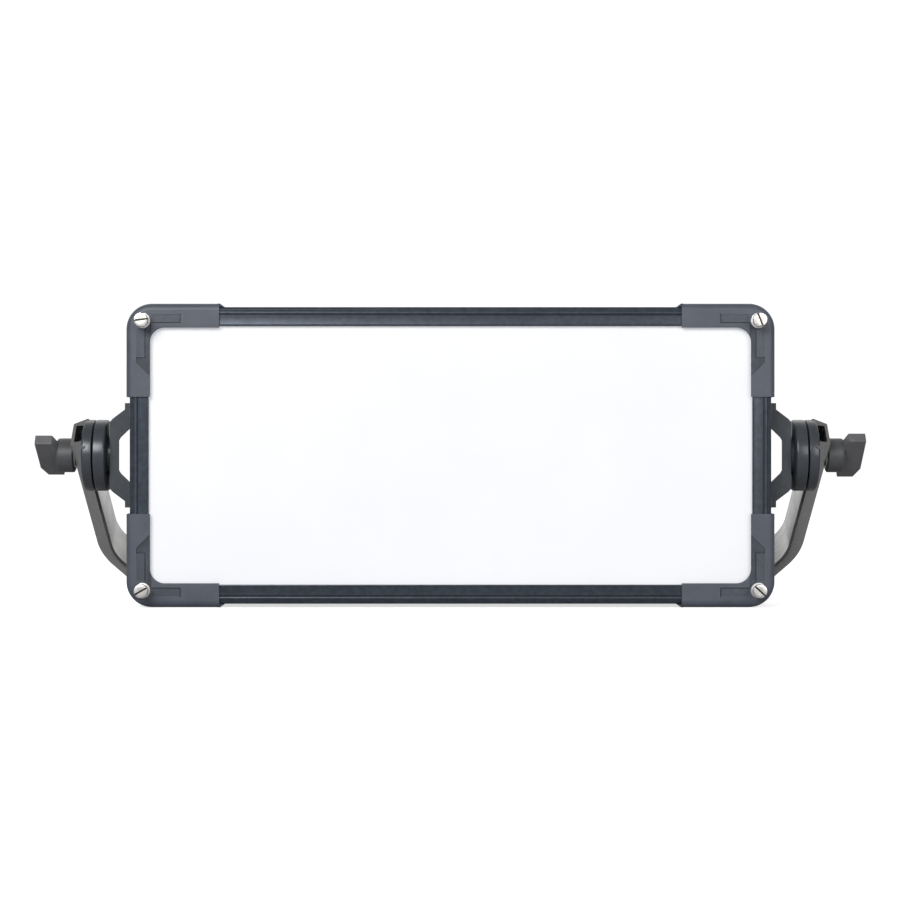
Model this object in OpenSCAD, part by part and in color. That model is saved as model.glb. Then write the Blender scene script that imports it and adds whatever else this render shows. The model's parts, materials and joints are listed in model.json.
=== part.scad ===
// LED panel light for studio use, carried by a clamped tilt yoke.
// Units are millimetres and +Z is up. The light leaves towards -Y.
// The origin is on the floor, under the middle of the whole light.

/* [Panel] */
// Width over the corner castings
panel_w = 660; // [600:5:720]
// Height over the corner castings
panel_h = 309; // [300:1:330]
// Depth of the front frame
frame_depth = 88; // [86:1:92]
// How far the corner castings stand proud of the rails
corner_proud = 3.5; // [2.5:0.5:4.5]
// Width of the front face of the rails
rail_band = 19.5; // [18:0.5:22]
// Outer radius of the corner castings
corner_r = 26; // [24:1:28]
// Radius of the window's corners
window_r = 15; // [12:1:18]
// Length of a corner casting's two arms
corner_arm = 95; // [80:5:110]
// Depth of the rear housing behind the front frame
housing_depth = 36; // [34:1:40]

/* [Light engine] */
// Thickness of the opal diffuser
diffuser_t = 3; // [2:0.5:4]
// Depth of the mixing chamber behind the diffuser
chamber_depth = 29; // [25:1:30]
// Number of emitters across the board
led_columns = 20; // [12:2:24]
// Number of emitters down the board
led_rows = 8; // [6:1:10]
// Number of cooling fins
fin_count = 33; // [21:2:41]

/* [Tilt pivots] */
// Distance of the tilt axis behind the front face
pivot_depth = 62; // [58:1:66]
// Radius of the two clamping discs
disc_r = 37; // [34:1:40]
// Distance of the friction face from the middle of the panel
friction_x = 368; // [366:1:372]
// Radius of the clamping stud
stud_r = 5; // [4:0.5:6]
// Half the length of the knob's bar
knob_reach = 29; // [26:1:32]
// Left knob's turn about the stud, in degrees
left_knob_turn = 56; // [0:1:90]
// Right knob's turn about the stud, in degrees
right_knob_turn = 50; // [0:1:90]

/* [Yoke] */
// Lean of the yoke back from straight down, in degrees
yoke_angle = 43; // [38:1:48]
// Thickness of the hollow yoke bar
bar_t = 16.5; // [15:0.5:18]
// Width of the yoke bar's inner face
bar_w = 45; // [42:1:48]
// Width of the yoke bar's outer face
bar_outer_w = 31; // [28:1:34]
// Wall of the yoke bar
bar_wall = 3.2; // [2.5:0.1:3.6]
// Inward lean of the yoke's arms, in degrees
arm_lean = 5.1; // [3:0.1:6]
// Radius of the hole for the stand's stud
stand_hole_r = 6.5; // [5:0.5:8.5]

/* [Rear controls] */
// Radius of an encoder knob
encoder_r = 9; // [7:0.5:10]
// Edge of a push button
button_size = 10; // [8:0.5:11]
// Radius of the fan openings
fan_r = 44; // [42:0.5:45]

/* [Hidden] */
$fn = 96;
eps = 0.01;

// Frame, measured from the tilt axis at the middle of the panel
front_y = -pivot_depth;
half_w = panel_w / 2;
half_h = panel_h / 2;
rail_x = half_w - corner_proud;
rail_z = half_h - corner_proud;
window_x = rail_x - rail_band;
window_z = rail_z - rail_band;
corner_overlap = 1.6;
rail_skin = 3;
face_t = 2;
joint_back = 34;
corner_tongue = 4.5;
rail_end_x = half_w - joint_back;
rail_end_z = half_h - joint_back;
ledge = 6;
engine_x = window_x + ledge;
engine_z = window_z + ledge;
engine_r = 20.5;
fit_gap = 0.5;

// Stack of the light engine, counted back from the front face
gasket_y0 = face_t + rail_skin;
gasket_t = 1;
diffuser_y0 = gasket_y0 + gasket_t;
chamber_y0 = diffuser_y0 + diffuser_t;
board_y0 = chamber_y0 + chamber_depth;
board_t = 1.6;
pad_t = 0.8;
sink_y0 = board_y0 + board_t + pad_t;
sink_t = 5;
fin_depth = 20;
fin_t = 2.2;
fin_z = engine_z - 12;
led_size = 3.5;
led_t = 0.8;

// Corner screws
screw_inset = 17.5;
screw_shank_r = 3;
screw_head_r = 7.1;
screw_proud = 18;

// Rear housing
rim_x = rail_x - 4.5;
rim_z = rail_z - 5;
rim_depth = 12;
hump_x = 255;
hump_z = 118;
hump_r = 20;
housing_t = 2.5;
cover_t = 2;
cover_y0 = frame_depth + housing_depth;
back_y = cover_y0 + cover_t;
fan_x = 182;
fan_z = 40;
fan_size = 92;
fan_depth = 25;

// Rear control panel and connector plate
panel_z = 44;
panel_half_x = 92;
panel_half_z = 52;
plate_t = 3;
display_x = -34;
display_z = 16;
display_half_x = 38;
display_half_z = 22;
encoder_x = [34, 62, 34];
encoder_z = [20, -2, -26];
encoder_shaft_r = 3;
encoder_proud = 15;
button_x = [-52, -18];
button_z = -30;
control_board_y = 112;
conn_z = -62;
conn_half_x = 150;
conn_half_z = 27;
inlet_x = -118;
dmx_in_x = -62;
dmx_out_x = -20;
network_x = 24;
usb_x = 58;
switch_x = 105;
rocker_depth = 6;

// Tilt pivots, measured out from the middle plane
pad_x0 = 343;
pad_x1 = 351.9;
inner_disc_x0 = 355.5;
washer_t = 1.5;
yoke_disc_x0 = friction_x + washer_t;
yoke_disc_x1 = 379.9;
bracket_half_y = 22;
bracket_half_z = 54;
bracket_foot_t = 4;
bracket_flange_t = 5;
bracket_screw_y = 10;
bracket_screw_z = 39;
boss_len = 4.5;
stud_head_r = 9;
stud_head_t = 2.6;
bar_seat_x = 389.9;
thrust_t = 1.4;
knob_x0 = bar_seat_x + thrust_t;
hub_r = 17.7;
hub_len = 18.2;
knob_x1 = 429.1;
knob_bar_t = 11;
stud_end_x = 405;
run_gap = 0.08;
face_gap = 0.02;
friction_r = 26;

// Yoke bar: straight arm, bend, diagonal, bend and crossbar
arm_x = 388.5;
arm_top = 30;
bend_1_r = 74;
bend_2_r = 40;
diagonal_lean = 35.5;
bend_1_s = 112;
bar_chamfer = 2.4;
yoke_reach = (half_h - bar_outer_w / 2 * sin(yoke_angle)) / cos(yoke_angle);
arm_len = (bend_1_s + arm_top) / cos(arm_lean);
bend_1_x = arm_x - bend_1_s * tan(arm_lean);
bend_1_end_s = bend_1_s + bend_1_r * (sin(diagonal_lean) - sin(arm_lean));
bend_1_end_x = bend_1_x - bend_1_r * (cos(arm_lean) - cos(diagonal_lean));
diagonal_s = yoke_reach - bend_2_r * (1 - sin(diagonal_lean)) - bend_1_end_s;
diagonal_len = diagonal_s / cos(diagonal_lean);
cross_len = bend_1_end_x - diagonal_s * tan(diagonal_lean) - bend_2_r * cos(diagonal_lean);
boss_r = 11;

// The whole light reaches from the screw heads to the back of the yoke
light_front = front_y - screw_proud;
light_back = yoke_reach * sin(yoke_angle) + bar_outer_w / 2 * cos(yoke_angle);
pivot = [0, -(light_front + light_back) / 2, half_h];

// Places its children on the tilt axis
module at_pivot() {
  translate(pivot) children();
}

// Extrudes an X-Z outline between two depths behind the front face
module slab(y0, y1) {
  translate([0, front_y + y1, 0])
    rotate([90, 0, 0])
      linear_extrude(y1 - y0) children();
}

// A rod along Y between two depths behind the front face
module rod_y(x, z, r, y0, y1) {
  translate([x, front_y + y0, z])
    rotate([-90, 0, 0])
      cylinder(h = y1 - y0, r = r);
}

// A rod along X between two distances from the middle plane
module rod_x(x0, x1, r) {
  translate([x0, 0, 0])
    rotate([0, 90, 0])
      cylinder(h = x1 - x0, r = r);
}

module rounded(w, h, r) {
  square([w - 2 * r, h], center = true);
  square([w, h - 2 * r], center = true);
  for (x = [-1, 1], z = [-1, 1])
    translate([x * (w / 2 - r), z * (h / 2 - r)]) circle(r);
}

module plate(half_x, half_z, r) {
  rounded(2 * half_x, 2 * half_z, r);
}

// Turns a right-hand part into its left-hand twin
module side(s) {
  if (s > 0) children();
  else mirror([1, 0, 0]) children();
}

// Turns an upper part into its lower twin
module flip_z(s) {
  if (s > 0) children();
  else mirror([0, 0, 1]) children();
}

// ---- Front frame ----

// Section of a rail: x runs outwards from the window's edge, y runs backwards
module rail_section() {
  web_x = rail_band - rail_skin;
  flange_back = frame_depth - rail_skin;
  sink_back = sink_y0 + sink_t;
  face_groove_x = 11.2;
  face_groove_w = 2.6;
  face_groove_depth = 0.8;
  side_groove_y = [12, 26];
  side_groove_w = 4;
  side_groove_depth = 1;
  lip_w = 3;
  difference() {
    translate([0, face_t]) square([rail_band, frame_depth - face_t]);
    translate([-eps, gasket_y0]) square([web_x + eps, sink_back - gasket_y0]);
    translate([-eps, sink_back + rail_skin])
      square([web_x + eps, flange_back - sink_back - rail_skin]);
    translate([-eps, sink_back - eps]) square([lip_w + eps, frame_depth]);
    translate([face_groove_x, 0]) square([face_groove_w, face_t + face_groove_depth]);
    for (y = side_groove_y)
      translate([rail_band - side_groove_depth, y])
        square([side_groove_depth + 1, side_groove_w]);
  }
}

module long_rail(s) {
  color("#30363f")
    at_pivot()
      flip_z(s)
        translate([0, front_y, window_z])
          rotate([0, -90, 0])
            linear_extrude(2 * rail_end_x, center = true) rail_section();
}

module short_rail(s) {
  color("#30363f")
    difference() {
      at_pivot()
        side(s)
          translate([window_x, front_y, 0])
            linear_extrude(2 * rail_end_z, center = true) rail_section();
      at_pivot() side(s) bracket_screw_axes() rod_x(rail_x - 8, rail_x + 1, 2.6);
    }
}

module corner_zone(reach_x, reach_z) {
  translate([half_w - reach_x, half_h - reach_z]) square([reach_x + eps, reach_z + eps]);
}

// A corner casting: front face, wrap over the rails and a solid corner block
module corner_casting(sx, sz) {
  block = joint_back;
  color("#5b626d")
    at_pivot()
      side(sx)
        flip_z(sz)
          difference() {
            union() {
              slab(0, face_t) intersection() {
                corner_outline();
                corner_zone(corner_arm, corner_arm);
              }
              slab(0, frame_depth) intersection() {
                difference() {
                  plate(half_w, half_h, corner_r);
                  plate(rail_x, rail_z, corner_r - corner_proud);
                }
                corner_zone(corner_arm + corner_tongue, corner_arm);
              }
              slab(0, diffuser_y0 - gasket_t) intersection() {
                corner_outline();
                corner_zone(block, block);
              }
              slab(0, frame_depth) intersection() {
                difference() {
                  plate(half_w, half_h, corner_r);
                  plate(engine_x + fit_gap, engine_z + fit_gap, engine_r);
                }
                corner_zone(block, block);
              }
            }
            corner_screw_axis() rod_y(0, 0, screw_shank_r + 0.2, -1, frame_depth + 1);
            corner_recesses();
          }
}

module corner_outline() {
  difference() {
    plate(half_w, half_h, corner_r);
    plate(window_x - corner_overlap, window_z - corner_overlap, window_r);
  }
}

module corner_screw_axis() {
  translate([half_w - screw_inset, 0, half_h - screw_inset]) children();
}

// Two shallow pockets on each arm of a corner casting
module corner_recesses() {
  pocket = 0.8;
  slab(-1, pocket) {
    translate([half_w - 56, half_h - 19.5]) square([29, 7]);
    translate([half_w - 19.5, half_h - 60]) square([8, 30]);
  }
}

module corner_screws() {
  color("#d8d6cc")
    at_pivot()
      for (sx = [-1, 1], sz = [-1, 1])
        side(sx) flip_z(sz)
          corner_screw_axis()
            difference() {
              union() {
                rod_y(0, 0, screw_head_r, -screw_proud, -9);
                rod_y(0, 0, 5.5, -9, -3);
                rod_y(0, 0, screw_head_r + 0.8, -3, 0);
                rod_y(0, 0, screw_shank_r, 0, 46);
              }
              rotate([0, 45, 0])
                translate([-10, front_y - screw_proud - 1, -0.8]) cube([20, 2.6, 1.6]);
            }
}

// ---- Light engine ----

module diffuser() {
  color("#fbfbfe")
    at_pivot()
      slab(diffuser_y0, diffuser_y0 + diffuser_t) plate(engine_x, engine_z, engine_r - fit_gap);
}

module diffuser_gasket() {
  color("#202226")
    at_pivot()
      slab(gasket_y0, gasket_y0 + gasket_t)
        difference() {
          plate(engine_x, engine_z, engine_r - fit_gap);
          plate(window_x + 0.6, window_z + 0.6, window_r);
        }
}

module mixing_chamber() {
  wall = 1.5;
  color("#f1f1ee")
    at_pivot()
      slab(chamber_y0, board_y0)
        difference() {
          plate(engine_x - 0.5, engine_z - 0.5, engine_r - 1);
          plate(engine_x - 0.5 - wall, engine_z - 0.5 - wall, engine_r - 1 - wall);
        }
}

module led_board() {
  color("#eef0ec")
    at_pivot()
      slab(board_y0, board_y0 + board_t) plate(engine_x - 0.5, engine_z - 0.5, engine_r - 1);
}

module led_emitters() {
  pitch_x = 2 * (engine_x - 12) / led_columns;
  pitch_z = 2 * (engine_z - 12) / led_rows;
  color("#f4dc6a")
    at_pivot()
      for (i = [0 : led_columns - 1], j = [0 : led_rows - 1])
        translate([
          (i - (led_columns - 1) / 2) * pitch_x - led_size / 2,
          front_y + board_y0 - led_t,
          (j - (led_rows - 1) / 2) * pitch_z - led_size / 2
        ]) cube([led_size, led_t, led_size]);
}

module thermal_pad() {
  color("#9aa6b5")
    at_pivot()
      slab(board_y0 + board_t, sink_y0) plate(engine_x - 3, engine_z - 3, engine_r - 3);
}

module heat_sink() {
  pitch = 2 * (engine_x - 12) / (fin_count - 1);
  color("#8d939b")
    at_pivot() {
      slab(sink_y0, sink_y0 + sink_t) plate(engine_x - 0.5, engine_z - 0.5, engine_r - 1);
      slab(sink_y0 + sink_t - 1, sink_y0 + sink_t + fin_depth)
        for (i = [0 : fin_count - 1])
          translate([(i - (fin_count - 1) / 2) * pitch - fin_t / 2, -fin_z])
            square([fin_t, 2 * fin_z]);
    }
}

// ---- Rear housing ----

module housing_shell() {
  rim_back = frame_depth + rim_depth;
  color("#3b4048")
    at_pivot()
      difference() {
        union() {
          slab(frame_depth, rim_back) plate(rim_x, rim_z, corner_r - 4);
          slab(rim_back - 1, cover_y0) plate(hump_x, hump_z, hump_r);
        }
        slab(frame_depth - 1, rim_back - housing_t)
          plate(rim_x - housing_t, rim_z - housing_t, corner_r - 4 - housing_t);
        slab(rim_back - housing_t - 1, cover_y0 + 1)
          plate(hump_x - housing_t, hump_z - housing_t, hump_r - housing_t);
        for (s = [-1, 1], i = [1 : 9], y = [4, 10, 16])
          translate([s * i * 24 - 7, front_y + rim_back + y, -hump_z - 1])
            cube([14, 3, 2 * hump_z + 2]);
      }
}

module rear_cover() {
  color("#3b4048")
    at_pivot()
      difference() {
        slab(cover_y0, back_y) plate(hump_x, hump_z, hump_r);
        for (s = [-1, 1])
          rod_y(s * fan_x, fan_z, fan_r, cover_y0 - 1, back_y + 1);
        slab(cover_y0 - 1, back_y + 1) {
          translate([0, panel_z]) plate(panel_half_x - 6, panel_half_z - 6, 4);
          translate([0, conn_z]) plate(conn_half_x - 5, conn_half_z - 4, 3);
        }
        cover_screw_axes() rod_y(0, 0, 2.2, cover_y0 - 1, back_y + 1);
      }
}

module cover_screw_axes() {
  for (x = [-1, 1], z = [-1, 1])
    translate([x * (hump_x - 12), 0, z * (hump_z - 12)]) children();
  for (z = [-1, 1])
    translate([0, 0, z * (hump_z - 9)]) children();
}

module rear_cover_screws() {
  color("#17191c")
    at_pivot()
      cover_screw_axes()
        difference() {
          union() {
            rod_y(0, 0, 4, back_y, back_y + 2.4);
            rod_y(0, 0, 2, back_y - 9, back_y + 0.5);
          }
          translate([0, front_y + back_y + 3, 0])
            rotate([90, 0, 0]) cylinder(h = 2, r = 1.7, $fn = 6);
        }
}

module fan_frames() {
  motor_r = 19;
  strut_w = 4;
  y0 = cover_y0 - fan_depth;
  color("#15171a")
    at_pivot()
      for (s = [-1, 1]) {
        difference() {
          slab(y0, cover_y0) translate([s * fan_x, fan_z]) plate(fan_size / 2, fan_size / 2, 5);
          rod_y(s * fan_x, fan_z, fan_r, y0 - 1, cover_y0 + 1);
        }
        rod_y(s * fan_x, fan_z, motor_r, y0, y0 + 3);
        rod_y(s * fan_x, fan_z, 2, y0 + 2, y0 + 14);
        slab(y0, y0 + 3)
          intersection() {
            translate([s * fan_x, fan_z]) circle(fan_r + 1);
            translate([s * fan_x, fan_z])
              for (a = [20, 110]) rotate(a) square([2 * fan_r + 2, strut_w], center = true);
          }
      }
}

module impeller(s) {
  hub = 18;
  blades = 7;
  blade_len = fan_r - 2 - hub;
  y0 = cover_y0 - fan_depth + 4;
  color("#24272b")
    at_pivot()
      difference() {
        union() {
          rod_y(s * fan_x, fan_z, hub, y0, y0 + 17);
          translate([s * fan_x, front_y + y0 + 8.5, fan_z])
            for (i = [0 : blades - 1])
              rotate([0, i * 360 / blades, 0])
                rotate([35, 0, 0])
                  translate([hub - 2, -10, -1]) cube([blade_len + 1, 20, 2]);
        }
        rod_y(s * fan_x, fan_z, 2 + run_gap, y0 - 1, y0 + 11);
      }
}

module fan_grilles() {
  wire = 2;
  color("#c9ccd0")
    at_pivot()
      for (s = [-1, 1])
        slab(back_y, back_y + wire)
          translate([s * fan_x, fan_z])
            difference() {
              union() {
                for (r = [14, 26, 38, fan_r + 5])
                  difference() {
                    circle(r);
                    circle(r - wire);
                  }
                for (a = [45, 135])
                  rotate(a) square([2 * fan_r + 8, wire], center = true);
              }
              circle(4);
            }
}

// ---- Electronics ----

module power_supply() {
  color("#b9bcc0")
    at_pivot()
      translate([-105, front_y + sink_y0 + sink_t + fin_depth + 4, -14])
        difference() {
          cube([210, 30, 96]);
          for (i = [0 : 11])
            translate([14 + i * 16, 28.5, 12]) cube([8, 2, 72]);
        }
}

module driver_board() {
  y0 = front_y + sink_y0 + sink_t + fin_depth + 4;
  color("#1f5b3a")
    at_pivot() {
      translate([-140, y0, -104]) cube([280, 1.6, 82]);
      for (i = [0 : 5])
        translate([-118 + i * 44, y0 + 1, -98]) cube([18, 12, 22]);
      for (i = [0 : 3])
        translate([-96 + i * 64, y0 + 1, -60])
          rotate([-90, 0, 0]) cylinder(h = 14, r = 6, $fn = 32);
    }
}

module control_board() {
  y0 = front_y + control_board_y;
  color("#1f5b3a")
    at_pivot() {
      translate([-80, y0, panel_z - 44]) cube([160, 1.6, 88]);
      for (i = [0 : 2])
        translate([encoder_x[i] - 6, y0 + 1, panel_z + encoder_z[i] - 6]) cube([12, 6, 12]);
      for (x = button_x)
        translate([x - 3, y0 + 1, panel_z + button_z - 3]) cube([6, 6, 6]);
    }
}

module control_panel() {
  lens_seat = 1;
  color("#1b1d21")
    at_pivot()
      difference() {
        slab(back_y, back_y + plate_t) translate([0, panel_z]) plate(panel_half_x, panel_half_z, 6);
        slab(back_y + plate_t - lens_seat, back_y + plate_t + 1)
          translate([display_x, panel_z + display_z]) plate(display_half_x, display_half_z, 3);
        slab(back_y - 1, back_y + plate_t + 1) {
          translate([display_x, panel_z + display_z])
            square([2 * display_half_x - 8, 2 * display_half_z - 8], center = true);
          for (x = button_x)
            translate([x, panel_z + button_z]) square(button_size + 0.6, center = true);
        }
        for (i = [0 : 2])
          rod_y(encoder_x[i], panel_z + encoder_z[i], encoder_shaft_r + 0.15,
            back_y - 1, back_y + plate_t + 1);
      }
}

module display_window() {
  color("#10141c")
    at_pivot()
      slab(back_y + plate_t - 1, back_y + plate_t + 0.2)
        translate([display_x, panel_z + display_z])
          plate(display_half_x - 0.15, display_half_z - 0.15, 2.85);
}

module encoder_knob(i) {
  knob_y0 = back_y + plate_t + 0.8;
  color("#2a2d32")
    at_pivot()
      difference() {
        union() {
          rod_y(encoder_x[i], panel_z + encoder_z[i], encoder_r, knob_y0, knob_y0 + encoder_proud);
          rod_y(encoder_x[i], panel_z + encoder_z[i], encoder_shaft_r,
            control_board_y + 8, knob_y0 + 1);
        }
        translate([encoder_x[i] - 0.6, front_y + knob_y0 + encoder_proud - 0.8,
          panel_z + encoder_z[i] + 2]) cube([1.2, 2, encoder_r]);
      }
}

module push_button(x) {
  cap_y0 = back_y - 5;
  color("#3a3e45")
    at_pivot()
      slab(cap_y0, back_y + plate_t + 2)
        translate([x, panel_z + button_z]) plate(button_size / 2, button_size / 2, 1.5);
}

module connector_plate() {
  color("#1b1d21")
    at_pivot()
      difference() {
        slab(back_y, back_y + plate_t) translate([0, conn_z]) plate(conn_half_x, conn_half_z, 4);
        rod_y(inlet_x, conn_z, 16.2, back_y - 1, back_y + plate_t + 1);
        rod_y(dmx_in_x, conn_z, 12.2, back_y - 1, back_y + plate_t + 1);
        rod_y(dmx_out_x, conn_z, 12.2, back_y - 1, back_y + plate_t + 1);
        slab(back_y - 1, back_y + plate_t + 1) {
          translate([network_x, conn_z]) square([17.2, 15.2], center = true);
          translate([usb_x, conn_z]) square([13.2, 7.2], center = true);
          translate([switch_x, conn_z]) square([30.4, 22.4], center = true);
        }
      }
}

module power_inlet() {
  mouth = back_y + plate_t + 3;
  color("#2c4f9e")
    at_pivot() {
      difference() {
        union() {
          rod_y(inlet_x, conn_z, 16, back_y - 26, mouth);
          slab(back_y + plate_t, mouth) translate([inlet_x, conn_z]) plate(20, 20, 4);
        }
        rod_y(inlet_x, conn_z, 12, back_y - 18, mouth + 1);
      }
      for (a = [0, 120, 240])
        translate([inlet_x, 0, conn_z])
          rotate([0, a, 0]) translate([6, front_y + back_y - 19, -2]) cube([1.6, 7, 4]);
    }
}

// A round data socket with a D-shaped face plate
module round_socket(x, bore_depth) {
  mouth = back_y + plate_t + 2.5;
  difference() {
    union() {
      rod_y(x, conn_z, 12, back_y - 20, mouth);
      slab(back_y + plate_t, mouth) translate([x, conn_z]) plate(13, 15.5, 3);
    }
    rod_y(x, conn_z, 9.5, mouth - bore_depth, mouth + 1);
  }
}

module dmx_pins(x, y0, y1, r) {
  for (a = [-72 : 36 : 72])
    rod_y(x + 5.5 * sin(a), conn_z - 5.5 * cos(a), r, y0, y1);
}

module dmx_input() {
  mouth = back_y + plate_t + 2.5;
  color("#202226")
    at_pivot() {
      round_socket(dmx_in_x, 16);
      dmx_pins(dmx_in_x, mouth - 17, mouth - 8, 0.9);
    }
}

module dmx_output() {
  mouth = back_y + plate_t + 2.5;
  color("#202226")
    at_pivot()
      difference() {
        round_socket(dmx_out_x, 1.5);
        dmx_pins(dmx_out_x, mouth - 14, mouth + 1, 1.1);
      }
}

module network_port() {
  color("#9fa3a8")
    at_pivot()
      difference() {
        slab(back_y - 18, back_y + plate_t + 0.5)
          translate([network_x, conn_z]) square([17, 15], center = true);
        slab(back_y - 10, back_y + plate_t + 2)
          translate([network_x, conn_z + 0.5]) square([12.4, 9], center = true);
      }
}

module usb_port() {
  color("#9fa3a8")
    at_pivot()
      difference() {
        slab(back_y - 9, back_y + plate_t + 0.5)
          translate([usb_x, conn_z]) square([13, 7], center = true);
        slab(back_y - 4, back_y + plate_t + 2)
          translate([usb_x, conn_z]) plate(4.6, 1.7, 1.6);
      }
}

module switch_body() {
  color("#15171a")
    at_pivot()
      difference() {
        union() {
          slab(back_y - 14, back_y + plate_t)
            translate([switch_x, conn_z]) square([30, 22], center = true);
          slab(back_y + plate_t, back_y + plate_t + 2)
            translate([switch_x, conn_z]) plate(17.5, 13.5, 2);
        }
        slab(back_y - 10, back_y + plate_t + 3)
          translate([switch_x, conn_z]) square([26, 17], center = true);
      }
}

// The rocker turns on two pins along Z and rests with its left half pressed
module power_rocker() {
  rest_tilt = 10;
  rocker_w = 16;
  pin_r = 1.6;
  pin_len = 16.8;
  color("#a62a22")
    at_pivot()
      translate([switch_x, front_y + back_y + plate_t - rocker_depth, conn_z])
        rotate([0, 0, rest_tilt]) {
          linear_extrude(rocker_w, center = true) rocker_outline();
          cylinder(h = pin_len, r = pin_r, center = true);
        }
}

module rocker_outline() {
  polygon([
    [-11, 8.6], [-2, 6.8], [2, 6.8], [11, 8.6],
    [11.4, 4], [3, -2.5], [-3, -2.5], [-11.4, 4]
  ]);
}

// Anchor plate for a safety cable, on top of the rear housing
module safety_eye() {
  eye_y = back_y - 17;
  color("#b7babf")
    at_pivot()
      difference() {
        union() {
          translate([-16, front_y + eye_y - 8, hump_z]) cube([32, 16, 3]);
          slab(eye_y - 2, eye_y + 2) {
            translate([-12, hump_z]) square([24, 16]);
            translate([0, hump_z + 16]) circle(12);
          }
        }
        rod_y(0, hump_z + 16, 7, eye_y - 3, eye_y + 3);
      }
}

// ---- Tilt brackets ----

module bracket_screw_axes() {
  for (y = [-bracket_screw_y, bracket_screw_y], z = [-bracket_screw_z, bracket_screw_z])
    translate([0, y, z]) children();
}

// Points and their mirror images below, in order round the outline
function closed_by_mirror(points) = concat(
  points,
  [for (i = [len(points) - 1 : -1 : 0]) [points[i][0], -points[i][1]]]
);

// Outline of the bracket: x outwards, y upwards
// Side view of the bracket's outer edge, from its feet to the pivot pad
module bracket_edge() {
  polygon(closed_by_mirror([
    [rail_x, bracket_half_z],
    [336.4, bracket_half_z],
    [336.4, 47.4],
    [349.2, 37.7],
    [pad_x1, 34.5]
  ]));
}

// The front flange has wide arms round a six-sided opening
module bracket_flange() {
  difference() {
    bracket_edge();
    polygon(closed_by_mirror([[rail_x - 1, 33.6], [341, 18.6], [pad_x0, 15.2]]));
  }
}

// Behind the flange only a thin wall follows the edge, with a foot at each end
module bracket_web() {
  foot_x = rail_x + bracket_foot_t;
  difference() {
    bracket_edge();
    polygon(closed_by_mirror([
      [rail_x - 1, 33.6],
      [foot_x, 33.6],
      [foot_x, 49.8],
      [333.4, 49.8],
      [333.4, 45.9],
      [346.6, 35.9],
      [348.5, 33.5]
    ]));
  }
}

module tilt_bracket(s) {
  color("#2b3038")
    at_pivot()
      side(s)
        difference() {
          union() {
            translate([0, bracket_half_y, 0])
              rotate([90, 0, 0]) linear_extrude(2 * bracket_half_y) bracket_web();
            translate([0, bracket_flange_t - bracket_half_y, 0])
              rotate([90, 0, 0]) linear_extrude(bracket_flange_t) bracket_flange();
            rod_x(pad_x1 - boss_len, pad_x1, 12.5);
          }
          bracket_screw_axes() rod_x(rail_x - 1, rail_x + bracket_foot_t + 1, 2.7);
          rod_x(pad_x1 - stud_head_t, pad_x1 + 1, stud_head_r + 0.2);
        }
}

module bracket_screws() {
  head_x0 = rail_x + bracket_foot_t;
  head_t = 4.5;
  key_depth = 2.5;
  color("#17191c")
    at_pivot()
      for (s = [-1, 1])
        side(s)
          bracket_screw_axes()
            difference() {
              union() {
                rod_x(rail_x - 8, head_x0 + 0.5, 2.5);
                rod_x(head_x0, head_x0 + head_t, 4.2);
              }
              translate([head_x0 + head_t - key_depth, 0, 0])
                rotate([0, 90, 0]) cylinder(h = key_depth + 1, r = 2.3, $fn = 6);
            }
}

module inner_disc(s) {
  color("#33383f")
    at_pivot()
      side(s)
        difference() {
          union() {
            rod_x(inner_disc_x0, friction_x, disc_r);
            rod_x(pad_x1, inner_disc_x0 + 1, 20);
          }
          rod_x(pad_x1 - 1, friction_x + 1, stud_r + 0.1);
        }
}

module stud(s) {
  color("#b7babf")
    at_pivot()
      side(s) {
        rod_x(pad_x1 - stud_head_t, pad_x1 - 0.2, stud_head_r);
        rod_x(pad_x1 - 1, stud_end_x, stud_r);
      }
}

// ---- Yoke ----

// Section of the bar: x = 0 is the outer face, y runs across the bar
module bar_envelope() {
  polygon([
    [0, -bar_outer_w / 2], [0, bar_outer_w / 2],
    [-bar_t + bar_chamfer, bar_w / 2], [-bar_t, bar_w / 2 - bar_chamfer],
    [-bar_t, -bar_w / 2 + bar_chamfer], [-bar_t + bar_chamfer, -bar_w / 2]
  ]);
}

module bar_section() {
  cavity_w = bar_outer_w - 2 * bar_wall;
  difference() {
    bar_envelope();
    translate([-bar_t + bar_wall, -cavity_w / 2]) square([bar_t - 2 * bar_wall, cavity_w]);
  }
}

module bar_leg(length) {
  translate([0, 0, -length]) linear_extrude(length) bar_section();
}

module bar_bend(r, angle) {
  translate([-r, 0, 0])
    rotate([-90, 0, 0])
      rotate_extrude(angle = angle) translate([r, 0]) bar_section();
}

module past_bend(r, angle) {
  translate([-r, 0, 0])
    rotate([0, angle, 0])
      translate([r, 0, 0]) children();
}

// Places its children at the top of the right arm, with -Z along the arm
module at_arm_top() {
  translate([arm_x + arm_top * tan(arm_lean), 0, arm_top])
    rotate([0, arm_lean, 0]) children();
}

module half_bar() {
  at_arm_top() {
    bar_leg(arm_len);
    translate([0, 0, -arm_len]) {
      bar_bend(bend_1_r, diagonal_lean - arm_lean);
      past_bend(bend_1_r, diagonal_lean - arm_lean) {
        bar_leg(diagonal_len);
        translate([0, 0, -diagonal_len]) {
          bar_bend(bend_2_r, 90 - diagonal_lean);
          past_bend(bend_2_r, 90 - diagonal_lean) bar_leg(cross_len);
        }
      }
    }
  }
}

// Leans its children back, as the yoke stands behind the panel
module at_yoke() {
  at_pivot() rotate([yoke_angle, 0, 0]) children();
}

module yoke_bar() {
  color("#77797c")
    at_yoke()
      difference() {
        union() {
          half_bar();
          mirror([1, 0, 0]) half_bar();
        }
        rod_x(-500, 500, boss_r + 0.1);
        translate([0, 0, -yoke_reach - 1]) cylinder(h = bar_t + 2, r = 10);
        for (s = [-1, 1]) side(s) end_screw_axes() rod_x(340, 400, 2.6);
      }
}

module end_screw_axes() {
  for (z = [-1, 1]) translate([0, 0, z * 19]) children();
}

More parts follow.
